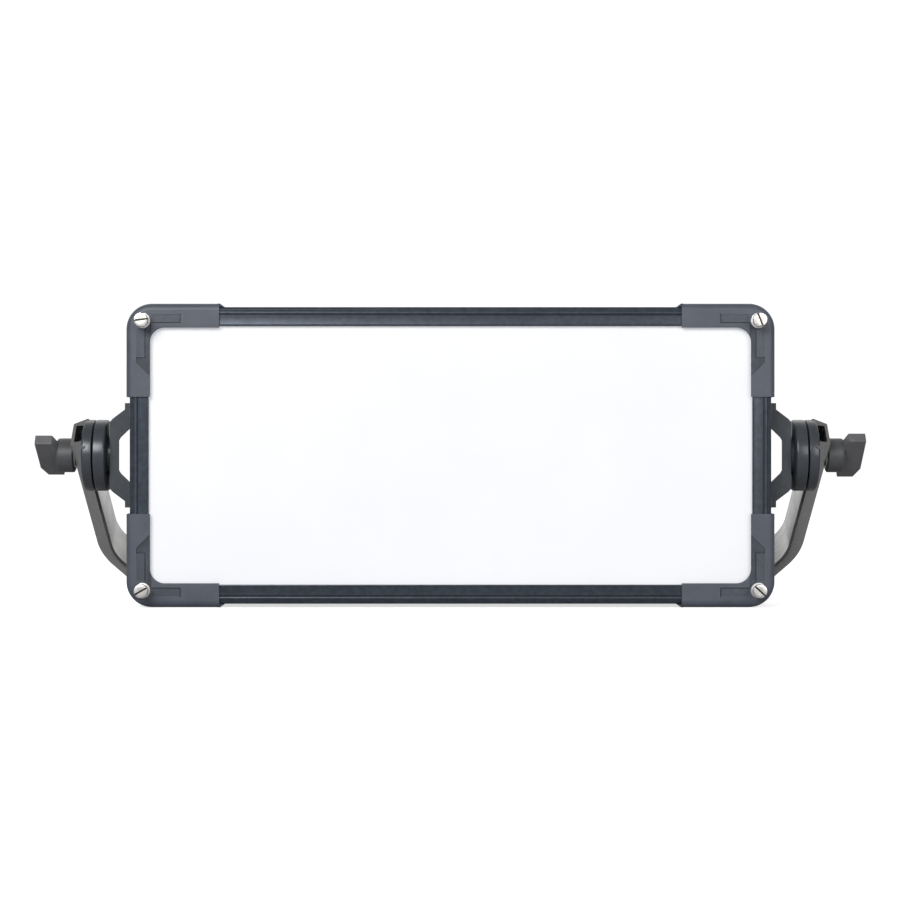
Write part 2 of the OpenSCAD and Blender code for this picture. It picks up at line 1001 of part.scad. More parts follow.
// The yoke's clamping disc, with a channel for the arm and a boss through it
module yoke_end(s) {
  channel = 80;
  color("#3a3f46")
    at_yoke()
      side(s)
        difference() {
          union() {
            difference() {
              rod_x(yoke_disc_x0, yoke_disc_x1, disc_r);
              at_arm_top() translate([0, 0, -channel]) linear_extrude(channel + 5) bar_envelope();
            }
            rod_x(yoke_disc_x0, bar_seat_x, boss_r);
          }
          rod_x(yoke_disc_x0 - 1, bar_seat_x + 1, stud_r + run_gap);
          end_screw_axes() rod_x(yoke_disc_x0 - 1, yoke_disc_x1 + 1, 2.6);
        }
}

module friction_washer(s) {
  color("#0e0f11")
    at_yoke()
      side(s)
        difference() {
          rod_x(friction_x + face_gap, yoke_disc_x0, friction_r);
          rod_x(friction_x - 1, yoke_disc_x0 + 1, stud_r + 0.5);
        }
}

module yoke_end_screws() {
  color("#17191c")
    at_yoke()
      for (s = [-1, 1])
        side(s) end_screw_axes() rod_x(yoke_disc_x0, arm_x - 3.5, 2.5);
}

module yoke_bushing() {
  color("#c4c6c9")
    at_yoke()
      translate([0, 0, -yoke_reach])
        difference() {
          cylinder(h = bar_t, r = 10);
          translate([0, 0, -1]) cylinder(h = bar_t + 2, r = stand_hole_r);
        }
}

// ---- Clamping knobs ----

// Outline of the knob's bar: x outwards along the stud, y along the bar
module knob_bar_outline() {
  polygon([
    [knob_x1, knob_reach], [knob_x1 - 17.5, knob_reach], [knob_x1 - 23.3, 14],
    [knob_x1 - 23.3, -knob_reach], [knob_x1 - 6.5, -knob_reach], [knob_x1, 13 - knob_reach]
  ]);
}

module knob(s, turn) {
  bore_end = stud_end_x + 4;
  color("#4a4b4d")
    at_pivot()
      side(s)
        rotate([turn, 0, 0])
          difference() {
            union() {
              rod_x(knob_x0, knob_x0 + hub_len, hub_r);
              translate([0, knob_bar_t / 2, 0])
                rotate([90, 0, 0]) linear_extrude(knob_bar_t) knob_bar_outline();
            }
            rod_x(knob_x0 - 1, bore_end, stud_r + run_gap);
          }
}

module thrust_washer(s) {
  color("#b7babf")
    at_pivot()
      side(s)
        difference() {
          rod_x(bar_seat_x, knob_x0 - face_gap, 13);
          rod_x(bar_seat_x - 1, knob_x0 + 1, stud_r + 0.2);
        }
}

long_rail(1);  // top_rail
long_rail(-1);  // bottom_rail
short_rail(-1);  // left_rail
short_rail(1);  // right_rail
corner_casting(-1, 1);  // top_left_corner
corner_casting(1, 1);  // top_right_corner
corner_casting(-1, -1);  // bottom_left_corner
corner_casting(1, -1);  // bottom_right_corner
corner_screws();
diffuser();
diffuser_gasket();
mixing_chamber();
led_board();
led_emitters();
thermal_pad();
heat_sink();
housing_shell();
rear_cover();
rear_cover_screws();
fan_frames();
fan_grilles();
power_supply();
driver_board();
control_board();
control_panel();
display_window();
connector_plate();
power_inlet();
dmx_input();
dmx_output();
network_port();
usb_port();
switch_body();
safety_eye();
tilt_bracket(-1);  // left_bracket
tilt_bracket(1);  // right_bracket
bracket_screws();
inner_disc(-1);  // left_inner_disc
inner_disc(1);  // right_inner_disc
stud(-1);  // left_stud
stud(1);  // right_stud
impeller(-1);  // left_impeller
impeller(1);  // right_impeller
encoder_knob(0);  // intensity_knob
encoder_knob(1);  // color_knob
encoder_knob(2);  // menu_knob
push_button(button_x[0]);  // select_button
push_button(button_x[1]);  // back_button
power_rocker();
yoke_bar();
yoke_end(-1);  // left_yoke_end
yoke_end(1);  // right_yoke_end
friction_washer(-1);  // left_friction_washer
friction_washer(1);  // right_friction_washer
yoke_end_screws();
yoke_bushing();
knob(-1, left_knob_turn);  // left_knob
knob(1, right_knob_turn);  // right_knob
thrust_washer(-1);  // left_thrust_washer
thrust_washer(1);  // right_thrust_washer
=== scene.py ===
import json
import math

import bmesh
import bpy
from mathutils import Matrix, Vector


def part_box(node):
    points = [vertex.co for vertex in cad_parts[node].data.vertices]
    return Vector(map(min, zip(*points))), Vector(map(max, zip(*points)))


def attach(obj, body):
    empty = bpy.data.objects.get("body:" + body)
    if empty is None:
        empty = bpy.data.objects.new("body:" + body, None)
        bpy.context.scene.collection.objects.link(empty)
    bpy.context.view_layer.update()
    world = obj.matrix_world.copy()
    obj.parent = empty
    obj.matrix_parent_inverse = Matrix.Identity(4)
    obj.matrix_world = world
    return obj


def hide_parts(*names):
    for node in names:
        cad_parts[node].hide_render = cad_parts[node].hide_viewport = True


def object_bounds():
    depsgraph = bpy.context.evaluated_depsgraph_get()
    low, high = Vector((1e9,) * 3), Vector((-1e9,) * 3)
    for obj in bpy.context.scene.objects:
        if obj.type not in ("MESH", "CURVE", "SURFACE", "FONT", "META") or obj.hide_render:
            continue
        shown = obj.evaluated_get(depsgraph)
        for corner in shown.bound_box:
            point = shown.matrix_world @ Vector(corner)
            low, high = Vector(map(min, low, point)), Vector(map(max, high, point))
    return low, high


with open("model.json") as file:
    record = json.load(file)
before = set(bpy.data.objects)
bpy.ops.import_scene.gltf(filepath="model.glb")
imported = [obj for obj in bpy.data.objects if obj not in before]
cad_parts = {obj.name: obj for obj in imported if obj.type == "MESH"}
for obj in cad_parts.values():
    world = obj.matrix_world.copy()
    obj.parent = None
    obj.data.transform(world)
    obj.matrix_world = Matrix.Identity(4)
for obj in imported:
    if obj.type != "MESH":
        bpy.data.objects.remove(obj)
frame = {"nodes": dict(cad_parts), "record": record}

CAD_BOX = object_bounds()
MM = 0.001
NODES = frame["nodes"]
SLOT_OF = {part["node"]: part["material_slot"] for part in frame["record"]["subparts"]}

# ---- Places read from the frame, in mm from the tilt axis and the front face ----


def centre_of(node):
    low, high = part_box(node)
    return (low + high) / 2


FRONT_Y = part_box("top_left_corner")[0].y
stud_centre = centre_of("right_stud")
AXIS = Vector((0.0, stud_centre.y, stud_centre.z))


def from_axis(node):
    """Lowest and highest corner of a node in mm: x and z from the tilt axis, y back from the front face."""
    low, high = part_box(node)
    zero = Vector((0.0, FRONT_Y, AXIS.z))
    return (low - zero) / MM, (high - zero) / MM


HALF_W = from_axis("top_right_corner")[1].x
HALF_H = from_axis("top_right_corner")[1].z
WINDOW_X = from_axis("right_rail")[0].x
RAIL_X = from_axis("right_rail")[1].x
RAIL_Z = from_axis("top_rail")[1].z
RAIL_END_X = from_axis("top_rail")[1].x
RAIL_END_Z = from_axis("right_rail")[1].z
FRAME_DEPTH = from_axis("right_rail")[1].y
BACK_Y = from_axis("rear_cover")[1].y
SCREW_PROUD = -from_axis("corner_screws")[0].y
BUSHING = centre_of("yoke_bushing") - AXIS
YOKE_ANGLE = math.atan2(BUSHING.y, -BUSHING.z)
BAR_T = 16.5
YOKE_REACH = BUSHING.length / MM + BAR_T / 2


# ---- Shapes: points in mm with faces, placed in the shared frame when a piece is made ----


class Shape:
    """Points in mm and the faces between them."""

    def __init__(self, points, faces):
        self.points = [Vector(p) for p in points]
        self.faces = faces

    def moved(self, matrix):
        return Shape([matrix @ p for p in self.points], self.faces)

    def mirrored(self, x=1, z=1):
        faces = self.faces if x * z > 0 else [tuple(reversed(f)) for f in self.faces]
        return Shape([Vector((p.x * x, p.y, p.z * z)) for p in self.points], faces)


def joined(shapes):
    points, faces = [], []
    for shape in shapes:
        start = len(points)
        points += shape.points
        faces += [tuple(i + start for i in face) for face in shape.faces]
    return Shape(points, faces)


def skin(rings, closed_path=False):
    """Joins rings of the same number of points, each ring closed on itself, with a cap at both ends."""
    n = len(rings[0])
    points = [p for ring in rings for p in ring]
    faces = []
    steps = len(rings) if closed_path else len(rings) - 1
    for i in range(steps):
        a, b = i * n, ((i + 1) % len(rings)) * n
        for k in range(n):
            faces.append((a + k, a + (k + 1) % n, b + (k + 1) % n, b + k))
    if not closed_path:
        faces.append(tuple(reversed(range(n))))
        faces.append(tuple(range(len(points) - n, len(points))))
    return Shape(points, faces)


def prism(outline, low, high, axis="y"):
    """Extrudes a closed outline of (a, b) points between two heights along an axis."""
    place = {
        "x": lambda a, b, h: Vector((h, a, b)),
        "y": lambda a, b, h: Vector((a, h, b)),
        "z": lambda a, b, h: Vector((a, b, h)),
    }[axis]
    return skin([[place(a, b, h) for a, b in outline] for h in (low, high)])


def turned_rings(profile, axis, segments, radius_at=None):
    """A ring of points about an axis for each (radius, height) point of a profile."""
    rings = []
    for radius, height in profile:
        ring = []
        for k in range(segments):
            turn = 2 * math.pi * k / segments
            r = radius if radius_at is None else radius_at(radius, height, turn)
            a, b = r * math.cos(turn), r * math.sin(turn)
            ring.append({"x": Vector((height, a, b)), "y": Vector((a, height, b))}[axis])
        rings.append(ring)
    return rings


def lathe(profile, axis, segments, radius_at=None):
    """Turns a profile about an axis and caps both its ends."""
    return skin(turned_rings(profile, axis, segments, radius_at))


def tube(profile, axis, segments):
    """A turned ring: the profile is a closed loop of (radius, height) points."""
    return skin(turned_rings(profile, axis, segments), closed_path=True)


def arc(centre, radius, start, end, steps):
    """Points on an arc, angles in degrees."""
    turns = [math.radians(start + (end - start) * k / steps) for k in range(steps + 1)]
    return [(centre[0] + radius * math.cos(t), centre[1] + radius * math.sin(t)) for t in turns]


def rounded_rect(half_a, half_b, radius, steps=6, centre=(0.0, 0.0)):
    points = []
    for k, (a, b) in enumerate([(1, 1), (-1, 1), (-1, -1), (1, -1)]):
        middle = (centre[0] + a * (half_a - radius), centre[1] + b * (half_b - radius))
        points += arc(middle, radius, 90 * k, 90 * k + 90, steps)
    return points


SHARP_REACH = 1e-6


def filleted(outline, radius, steps=3):
    """Rounds every corner of a closed outline. radius is one number or one for each corner."""
    radii = radius if isinstance(radius, (list, tuple)) else [radius] * len(outline)
    corners = [Vector((p[0], p[1])) for p in outline]
    points = []
    for i, corner in enumerate(corners):
        to_last = (corners[i - 1] - corner).normalized()
        to_next = (corners[(i + 1) % len(corners)] - corner).normalized()
        half = to_last.angle(to_next) / 2
        reach = radii[i] / math.tan(half)
        if reach < SHARP_REACH:
            points.append(tuple(corner))
            continue
        start, end = corner + to_last * reach, corner + to_next * reach
        for k in range(steps + 1):
            t = k / steps
            point = start * (1 - t) ** 2 + corner * 2 * t * (1 - t) + end * t * t
            points.append(tuple(point))
    return points


# ---- Pieces ----

PANEL_PLACE = Matrix.Translation((0.0, FRONT_Y, AXIS.z)) @ Matrix.Scale(MM, 4)
AXIS_PLACE = Matrix.Translation(AXIS) @ Matrix.Scale(MM, 4)
YOKE_PLACE = AXIS_PLACE @ Matrix.Rotation(YOKE_ANGLE, 4, "X")
MATERIALS = {}
FRONT_FACING = -0.98


def mesh_of(name, shape, place):
    mesh = bpy.data.meshes.new(name)
    build = bmesh.new()
    verts = [build.verts.new(place @ p) for p in shape.points]
    for face in shape.faces:
        build.faces.new([verts[i] for i in face])
    bmesh.ops.recalc_face_normals(build, faces=build.faces)
    build.to_mesh(mesh)
    build.free()
    return mesh


def carved(obj, cutters, place):
    """Cuts shapes out of an object and keeps the result in its mesh."""
    tools = []
    for shape in cutters:
        tool = bpy.data.objects.new("cutter", mesh_of("cutter", shape, place))
        bpy.context.scene.collection.objects.link(tool)
        cut = obj.modifiers.new("cut", "BOOLEAN")
        cut.operation = "DIFFERENCE"
        cut.solver = "EXACT"
        cut.object = tool
        tools.append(tool)
    bpy.context.view_layer.update()
    done = obj.evaluated_get(bpy.context.evaluated_depsgraph_get())
    obj.data = bpy.data.meshes.new_from_object(done)
    obj.modifiers.clear()
    for tool in tools:
        bpy.data.objects.remove(tool)


def soften(obj, width, steps=2, angle=30.0):
    """Rounds the edges by a bevel in mm, with flat faces kept flat in shading."""
    bevel = obj.modifiers.new("edges", "BEVEL")
    bevel.width = width * MM
    bevel.segments = steps
    bevel.limit_method = "ANGLE"
    bevel.angle_limit = math.radians(angle)
    bevel.miter_outer = "MITER_ARC"
    bevel.use_clamp_overlap = True
    flat = obj.modifiers.new("flat_faces", "WEIGHTED_NORMAL")
    flat.keep_sharp = True


def make(name, shapes, body, slot, place=PANEL_PLACE, replaces=(), bevel=0.0, steps=2,
         angle=30.0, cut=(), grain=None, sharp=50.0, recess_shade=None, look=None):
    """Makes a piece from shapes, cuts, smooths and bevels it, ties it to its body, gives it its slot's
    material and hides the CAD nodes it replaces.
    look names its Blender material where that isn't called after the slot."""
    shape = joined(shapes if isinstance(shapes, list) else [shapes])
    obj = bpy.data.objects.new(name, mesh_of(name, shape, place))
    bpy.context.scene.collection.objects.link(obj)
    if cut:
        carved(obj, cut, place)
    mesh = obj.data
    mesh.polygons.foreach_set("use_smooth", [True] * len(mesh.polygons))
    if grain is not None:
        inverse = place.inverted()
        layer = mesh.attributes.new("grain", "FLOAT_VECTOR", "POINT")
        values = [c for v in mesh.vertices for c in grain(inverse @ v.co) * MM]
        layer.data.foreach_set("vector", values)
    # Marks the recessed front-facing faces, from 0 to 1, for painted shade.
    if recess_shade is not None:
        inverse = place.inverted()
        layer = mesh.attributes.new("recess_shade", "FLOAT", "FACE")
        values = [recess_shade(inverse @ f.center) if f.normal.y < FRONT_FACING else 0.0
                  for f in mesh.polygons]
        layer.data.foreach_set("value", values)
    if bevel:
        soften(obj, bevel, steps, angle)
    else:
        mesh.set_sharp_from_angle(angle=math.radians(sharp))
    mesh.materials.append(MATERIALS[look or slot])
    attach(obj, body)
    if replaces:
        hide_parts(*replaces)
    return obj


# ---- Materials ----


class Graph:
    """A short way to wire a material's nodes."""

    def __init__(self, name):
        self.material = bpy.data.materials.new(name)
        self.material.use_nodes = True
        self.tree = self.material.node_tree
        self.shader = self.tree.nodes["Principled BSDF"]

    def node(self, kind, values=(), **settings):
        made = self.tree.nodes.new(kind)
        for key, value in settings.items():
            setattr(made, key, value)
        for key, value in dict(values).items():
            if isinstance(value, bpy.types.NodeSocket):
                self.tree.links.new(value, made.inputs[key])
            else:
                made.inputs[key].default_value = value
        return made

    def link(self, output, socket):
        self.tree.links.new(output, self.shader.inputs[socket])

    def position(self, attribute=None, stretch=(1.0, 1.0, 1.0)):
        """The position in metres, or the piece's own grain position, stretched."""
        if attribute:
            source = self.node("ShaderNodeAttribute", attribute_name=attribute).outputs["Vector"]
        else:
            source = self.node("ShaderNodeTexCoord").outputs["Object"]
        mapping = self.node("ShaderNodeMapping", {"Vector": source, "Scale": stretch})
        return mapping.outputs["Vector"]

    def noise(self, where, scale, detail=3.0, roughness=0.55, distortion=0.0):
        made = self.node("ShaderNodeTexNoise", {
            "Vector": where, "Scale": scale, "Detail": detail,
            "Roughness": roughness, "Distortion": distortion})
        return made.outputs["Fac"]

    def cells(self, where, scale):
        made = self.node("ShaderNodeTexVoronoi", {"Vector": where, "Scale": scale})
        return made.outputs["Distance"]

    def ramp(self, factor, stops):
        made = self.node("ShaderNodeValToRGB", {"Fac": factor})
        ramp = made.color_ramp
        while len(ramp.elements) < len(stops):
            ramp.elements.new(0.5)
        for element, (place, colour) in zip(ramp.elements, stops):
            element.position = place
            element.color = (*colour, 1.0)
        return made.outputs["Color"]

    def spread(self, factor, low, high, start=0.3, end=0.7):
        made = self.node("ShaderNodeMapRange", {
            "Value": factor, "From Min": start, "From Max": end, "To Min": low, "To Max": high})
        return made.outputs["Result"]

    def mix(self, factor, a, b, blend="MIX"):
        made = self.node("ShaderNodeMix", data_type="RGBA", blend_type=blend)
        for socket, value in ((made.inputs[0], factor), (made.inputs[6], a), (made.inputs[7], b)):
            if isinstance(value, bpy.types.NodeSocket):
                self.tree.links.new(value, socket)
            else:
                socket.default_value = value
        return made.outputs[2]

    def recess_shade(self, tone, tint):
        """Darkens the faces that the piece's attribute marks as recessed: painted shade."""
        mark = self.node("ShaderNodeAttribute", attribute_name="recess_shade").outputs["Fac"]
        return self.mix(mark, tone, self.mix(1.0, tone, (*tint, 1.0), "MULTIPLY"))

    def bump(self, height, depth, under=None):
        """Raises the surface by height, from 0 to 1, times depth in mm."""
        values = {"Height": height, "Distance": depth * MM, "Strength": 1.0}
        if under is not None:
            values["Normal"] = under
        return self.node("ShaderNodeBump", values).outputs["Normal"]


def tinted(colour, factor):
    return tuple(min(1.0, c * factor) for c in colour)


def moulded(name, colour, roughness, grain, depth, edge_wear_and_sheen, contrast=0.12, metallic=0.0,
            edge_wear_and_sheen_tint=1.8, recess_shade_tint=None):
    """Paint, powder coat or moulded plastic: clouded tone, fine leathery grain and lighter edges, which are
    worn edges and, on the rails, also a painted highlight.
    grain is the size of the grain in mm and depth its height. The recess tint darkens the recessed faces:
    painted shade."""
    g = Graph(name)
    where = g.position()
    clouds = g.noise(where, 30.0, 4.0)
    speck = g.noise(where, 1.0 / (grain * MM), 3.0)
    cells = g.cells(where, 1.0 / (grain * 1.6 * MM))
    tone = g.ramp(clouds, [(0.3, tinted(colour, 1 - contrast)), (0.7, tinted(colour, 1 + contrast))])
    fleck = g.ramp(speck, [(0.35, tinted((1, 1, 1), 0.86)), (0.68, (1.0, 1.0, 1.0))])
    tone = g.mix(1.0, tone, fleck, "MULTIPLY")
    # Painted shade: the recessed faces are darkened.
    if recess_shade_tint is not None:
        tone = g.recess_shade(tone, recess_shade_tint)
    # Lighter edges found by pointiness: worn edges, and on the rails also a painted highlight along the
    # ridges.
    if edge_wear_and_sheen:
        edge = g.node("ShaderNodeNewGeometry").outputs["Pointiness"]
        edge = g.spread(edge, 0.0, edge_wear_and_sheen, 0.51, 0.6)
        patches = g.spread(g.noise(where, 160.0, 5.0), 0.2, 1.0, 0.4, 0.62)
        amount = g.node("ShaderNodeMath", {0: edge, 1: patches}, operation="MULTIPLY")
        tone = g.mix(amount.outputs[0], tone, (*tinted(colour, edge_wear_and_sheen_tint), 1.0))
    g.link(tone, "Base Color")
    g.link(g.spread(speck, roughness - 0.05, roughness + 0.07), "Roughness")
    under = g.bump(cells, depth)
    g.link(g.bump(speck, depth * 0.7, under), "Normal")
    g.shader.inputs["Metallic"].default_value = metallic
    MATERIALS[name] = g.material


def machined(name, colour, roughness, lines, metallic=1.0, size=0.12, depth=0.004,
             contrast=0.12, attribute=None, smudge=0.08, recess_shade_tint=None):
    """Brushed or turned metal. lines stretches the noise: a small number draws it out that way.
    size is the width of the lines in mm, and smudge how much the gloss changes in patches."""
    g = Graph(name)
    where = g.position(attribute, lines)
    broad = g.position()
    fine = g.noise(where, 1.0 / (size * MM), 3.0, 0.6)
    wide = g.noise(where, 1.0 / (size * 9 * MM), 2.0)
    smear = g.noise(broad, 26.0, 5.0, 0.6, 0.4)
    tone = g.ramp(fine, [(0.3, tinted(colour, 1 - contrast)), (0.72, tinted(colour, 1 + contrast))])
    band = g.ramp(wide, [(0.3, (0.88, 0.88, 0.88)), (0.7, (1.0, 1.0, 1.0))])
    tone = g.mix(1.0, tone, band, "MULTIPLY")
    # Painted shade: the recessed faces, such as the floors of the screw slots, are darkened.
    if recess_shade_tint is not None:
        tone = g.recess_shade(tone, recess_shade_tint)
    g.link(tone, "Base Color")
    shine = g.spread(fine, roughness - 0.05, roughness + 0.06)
    dull = g.spread(smear, -smudge, smudge)
    total = g.node("ShaderNodeMath", {0: shine, 1: dull}, operation="ADD", use_clamp=True)
    g.link(total.outputs[0], "Roughness")
    g.link(g.bump(fine, depth), "Normal")
    g.shader.inputs["Metallic"].default_value = metallic
    MATERIALS[name] = g.material


def opal(name):
    """The glowing diffuser: a faint haze in its glow, and a satin skin."""
    g = Graph(name)
    where = g.position()
    haze = g.noise(where, 6.0, 3.0)
    glow = g.ramp(haze, [(0.35, (0.958, 0.970, 0.992)), (0.65, (0.972, 0.980, 0.996))])
    g.link(glow, "Emission Color")
    g.shader.inputs["Emission Strength"].default_value = OPAL_GLOW
    tone = g.ramp(haze, [(0.3, (0.60, 0.60, 0.62)), (0.7, (0.63, 0.63, 0.65))])
    g.link(tone, "Base Color")
    speck = g.noise(where, 2500.0, 2.0)
    g.link(g.spread(speck, 0.42, 0.55), "Roughness")
    g.link(g.bump(speck, 0.01), "Normal")
    MATERIALS[name] = g.material


def circuit(name):
    """Green solder mask with copper tracks under it."""
    g = Graph(name)
    where = g.position()
    tracks = g.node("ShaderNodeTexBrick", {
        "Vector": g.position(stretch=(180.0, 180.0, 180.0)), "Scale": 1.0, "Mortar Size": 0.05,
        "Color1": (0.010, 0.075, 0.030, 1.0), "Color2": (0.014, 0.095, 0.040, 1.0),
        "Mortar": (0.045, 0.170, 0.060, 1.0)})
    dust = g.ramp(g.noise(where, 300.0), [(0.3, (0.8, 0.8, 0.8)), (0.7, (1.0, 1.0, 1.0))])
    g.link(g.mix(1.0, tracks.outputs["Color"], dust, "MULTIPLY"), "Base Color")
    g.link(g.spread(g.noise(where, 900.0), 0.25, 0.4), "Roughness")
    g.link(g.bump(tracks.outputs["Fac"], 0.03), "Normal")
    MATERIALS[name] = g.material


def glass_screen(name):
    """A switched-off screen: dark glass over a fine grid of cells, with smudges."""
    g = Graph(name)
    grid = g.node("ShaderNodeTexBrick", {
        "Vector": g.position(stretch=(1800.0, 1800.0, 1800.0)), "Scale": 1.0, "Mortar Size": 0.08,
        "Color1": (0.014, 0.026, 0.055, 1.0), "Color2": (0.016, 0.030, 0.062, 1.0),
        "Mortar": (0.003, 0.004, 0.006, 1.0)}, offset=0.0)
    g.link(grid.outputs["Color"], "Base Color")
    g.link(g.spread(g.noise(g.position(), 60.0, 5.0, 0.6, 0.5), 0.04, 0.16), "Roughness")
    g.shader.inputs["Coat Weight"].default_value = 1.0
    g.shader.inputs["Coat Roughness"].default_value = 0.03
    MATERIALS[name] = g.material


OPAL_GLOW = 0.32
opal("opal")
circuit("circuit")
glass_screen("display")
# The corner finish's recess tint paints shade into the pads, recess and grooves, darker the deeper they
# lie.
moulded("corner", (0.078, 0.088, 0.113), 0.44, grain=0.5, depth=0.010, edge_wear_and_sheen=0.20,
        recess_shade_tint=(0.16, 0.19, 0.22))
# The rails' strong lighter edges are partly wear and partly a painted highlight along each ridge.
moulded("rail", (0.037, 0.046, 0.060), 0.30, grain=0.35, depth=0.004, edge_wear_and_sheen=0.4, contrast=0.06,
        metallic=0.4, edge_wear_and_sheen_tint=2.2)
moulded("housing", (0.056, 0.064, 0.077), 0.50, grain=0.7, depth=0.03, edge_wear_and_sheen=0.3)
moulded("bracket", (0.036, 0.042, 0.052), 0.46, grain=0.5, depth=0.015, edge_wear_and_sheen=0.3)
moulded("disc", (0.056, 0.062, 0.070), 0.27, grain=0.5, depth=0.006, edge_wear_and_sheen=0.25, metallic=0.2)
moulded("knob", (0.122, 0.122, 0.128), 0.44, grain=0.6, depth=0.018, edge_wear_and_sheen=0.25)
# knob_hub is a darker copy of the knob's finish: painted shade on the hub under the lever.
moulded("knob_hub", (0.062, 0.063, 0.067), 0.48, grain=0.6, depth=0.018, edge_wear_and_sheen=0.25)
moulded("seal", (0.012, 0.013, 0.015), 0.70, grain=0.8, depth=0.02, edge_wear_and_sheen=0.0)
moulded("reflector", (0.86, 0.86, 0.84), 0.55, grain=0.5, depth=0.006, edge_wear_and_sheen=0.0, contrast=0.03)
moulded("led_board", (0.82, 0.83, 0.80), 0.40, grain=0.5, depth=0.005, edge_wear_and_sheen=0.0, contrast=0.03)
moulded("phosphor", (0.85, 0.66, 0.13), 0.35, grain=0.2, depth=0.004, edge_wear_and_sheen=0.0)
moulded("thermal_pad", (0.28, 0.33, 0.42), 0.75, grain=0.6, depth=0.02, edge_wear_and_sheen=0.0)
moulded("fan", (0.018, 0.019, 0.022), 0.40, grain=0.5, depth=0.01, edge_wear_and_sheen=0.2)
moulded("psu", (0.42, 0.43, 0.44), 0.38, grain=1.5, depth=0.004, metallic=0.9, edge_wear_and_sheen=0.0)
moulded("panel_face", (0.018, 0.019, 0.023), 0.40, grain=0.35, depth=0.012, edge_wear_and_sheen=0.3)
moulded("socket_blue", (0.020, 0.062, 0.300), 0.36, grain=0.5, depth=0.012, edge_wear_and_sheen=0.2)
moulded("socket_black", (0.012, 0.012, 0.014), 0.38, grain=0.5, depth=0.012, edge_wear_and_sheen=0.2)
moulded("encoder", (0.075, 0.077, 0.084), 0.42, grain=0.35, depth=0.02, edge_wear_and_sheen=0.35)
moulded("button", (0.110, 0.115, 0.128), 0.45, grain=0.35, depth=0.015, edge_wear_and_sheen=0.25)
moulded("rocker", (0.36, 0.022, 0.016), 0.34, grain=0.5, depth=0.012, edge_wear_and_sheen=0.1)
moulded("friction", (0.008, 0.008, 0.009), 0.75, grain=0.6, depth=0.03, edge_wear_and_sheen=0.0)
# The nickel's recess tint paints shadow on the floor of each screw's slot.
machined("nickel", (0.90, 0.87, 0.83), 0.34, attribute="grain", lines=(1.0, 1.0, 0.02),
         depth=0.001, contrast=0.05, smudge=0.03, recess_shade_tint=(0.10, 0.09, 0.08))
machined("yoke", (0.465, 0.462, 0.456), 0.28, lines=(1.0, 1.0, 0.012), size=0.35, depth=0.008,
         attribute="grain")
machined("wire", (0.60, 0.61, 0.63), 0.22, lines=(1.0, 0.3, 1.0))
machined("steel", (0.56, 0.57, 0.58), 0.30, lines=(0.05, 1.0, 1.0))
machined("black_steel", (0.030, 0.030, 0.033), 0.36, metallic=0.7, lines=(1.0, 0.1, 1.0))
machined("sink", (0.55, 0.56, 0.58), 0.36, lines=(1.0, 1.0, 0.03))
machined("socket_metal", (0.60, 0.60, 0.61), 0.28, lines=(0.05, 1.0, 1.0))

# ---- Front frame ----

CORNER_R = 26.0
WINDOW_R = 15.0
CORNER_ARM = 95.0
CORNER_OVERLAP = 1.6
FACE_T = 2.0
WRAP_T = HALF_W - RAIL_X
ROUND_D, ROUND_Y = 7.0, 6.5
ROUND_STEPS = 7
TONGUE_REACH = 4.5
LIP_D = HALF_W - WINDOW_X + CORNER_OVERLAP


def corner_path(offset, radius, straight=8, bend=18):
    """Points in X-Z along the upper right corner, a distance in from its outline, arm end to arm end."""
    x_end, z_end = HALF_W - CORNER_ARM, HALF_H - CORNER_ARM
    x, z = HALF_W - offset, HALF_H - offset
    cx, cz = x - radius, z - radius
    points = [(x_end + (cx - x_end) * k / straight, z) for k in range(straight)]
    points += arc((cx, cz), radius, 90, 0, bend)
    points += [(x, cz + (z_end - cz) * (k + 1) / straight) for k in range(straight)]
    return points


def corner_casting():
    """L-section swept round the corner: a soft outer shoulder, a flat face and an inner lip.
    Its tongue is the small step over the rail at the end of the arm."""
    section = [(0.0, FRAME_DEPTH)]
    for k in range(ROUND_STEPS + 1):
        turn = math.pi / 2 * k / ROUND_STEPS
        section.append((ROUND_D * (1 - math.cos(turn)), ROUND_Y * (1 - math.sin(turn))))
    section += [(LIP_D - 1.0, 0.0), (LIP_D - 0.35, 0.2), (LIP_D, 0.8), (LIP_D, FACE_T)]
    section += [(WRAP_T, FACE_T), (WRAP_T, FRAME_DEPTH)]
    columns = []
    for offset, depth in section:
        if offset <= ROUND_D:
            path = corner_path(offset, CORNER_R - offset)
        else:
            share = (offset - ROUND_D) / (LIP_D - ROUND_D)
            path = corner_path(offset, (CORNER_R - ROUND_D) * (1 - share) + WINDOW_R * share)
        columns.append([Vector((x, depth, z)) for x, z in path])
    rings = [[column[i] for column in columns] for i in range(len(columns[0]))]
    tongue_x = HALF_W - CORNER_ARM
    tongue = prism([(tongue_x + 2, HALF_H), (tongue_x - 0.6, HALF_H),
                    (tongue_x - TONGUE_REACH, RAIL_Z), (tongue_x + 2, RAIL_Z)],
                   ROUND_Y * 0.4, FRAME_DEPTH)
    return skin(rings), tongue


PAD_D0, PAD_D1 = 11.4, 19.2
PAD_START, PAD_END = 26.5, 55.0
PAD_DEPTH = 0.5
GROOVE_W, GROOVE_DEPTH = 0.9, 1.4
RECESS_D0, RECESS_END = 10.6, 60.0
RECESS_DEPTH = 1.0
CUT_FROM = -2.0


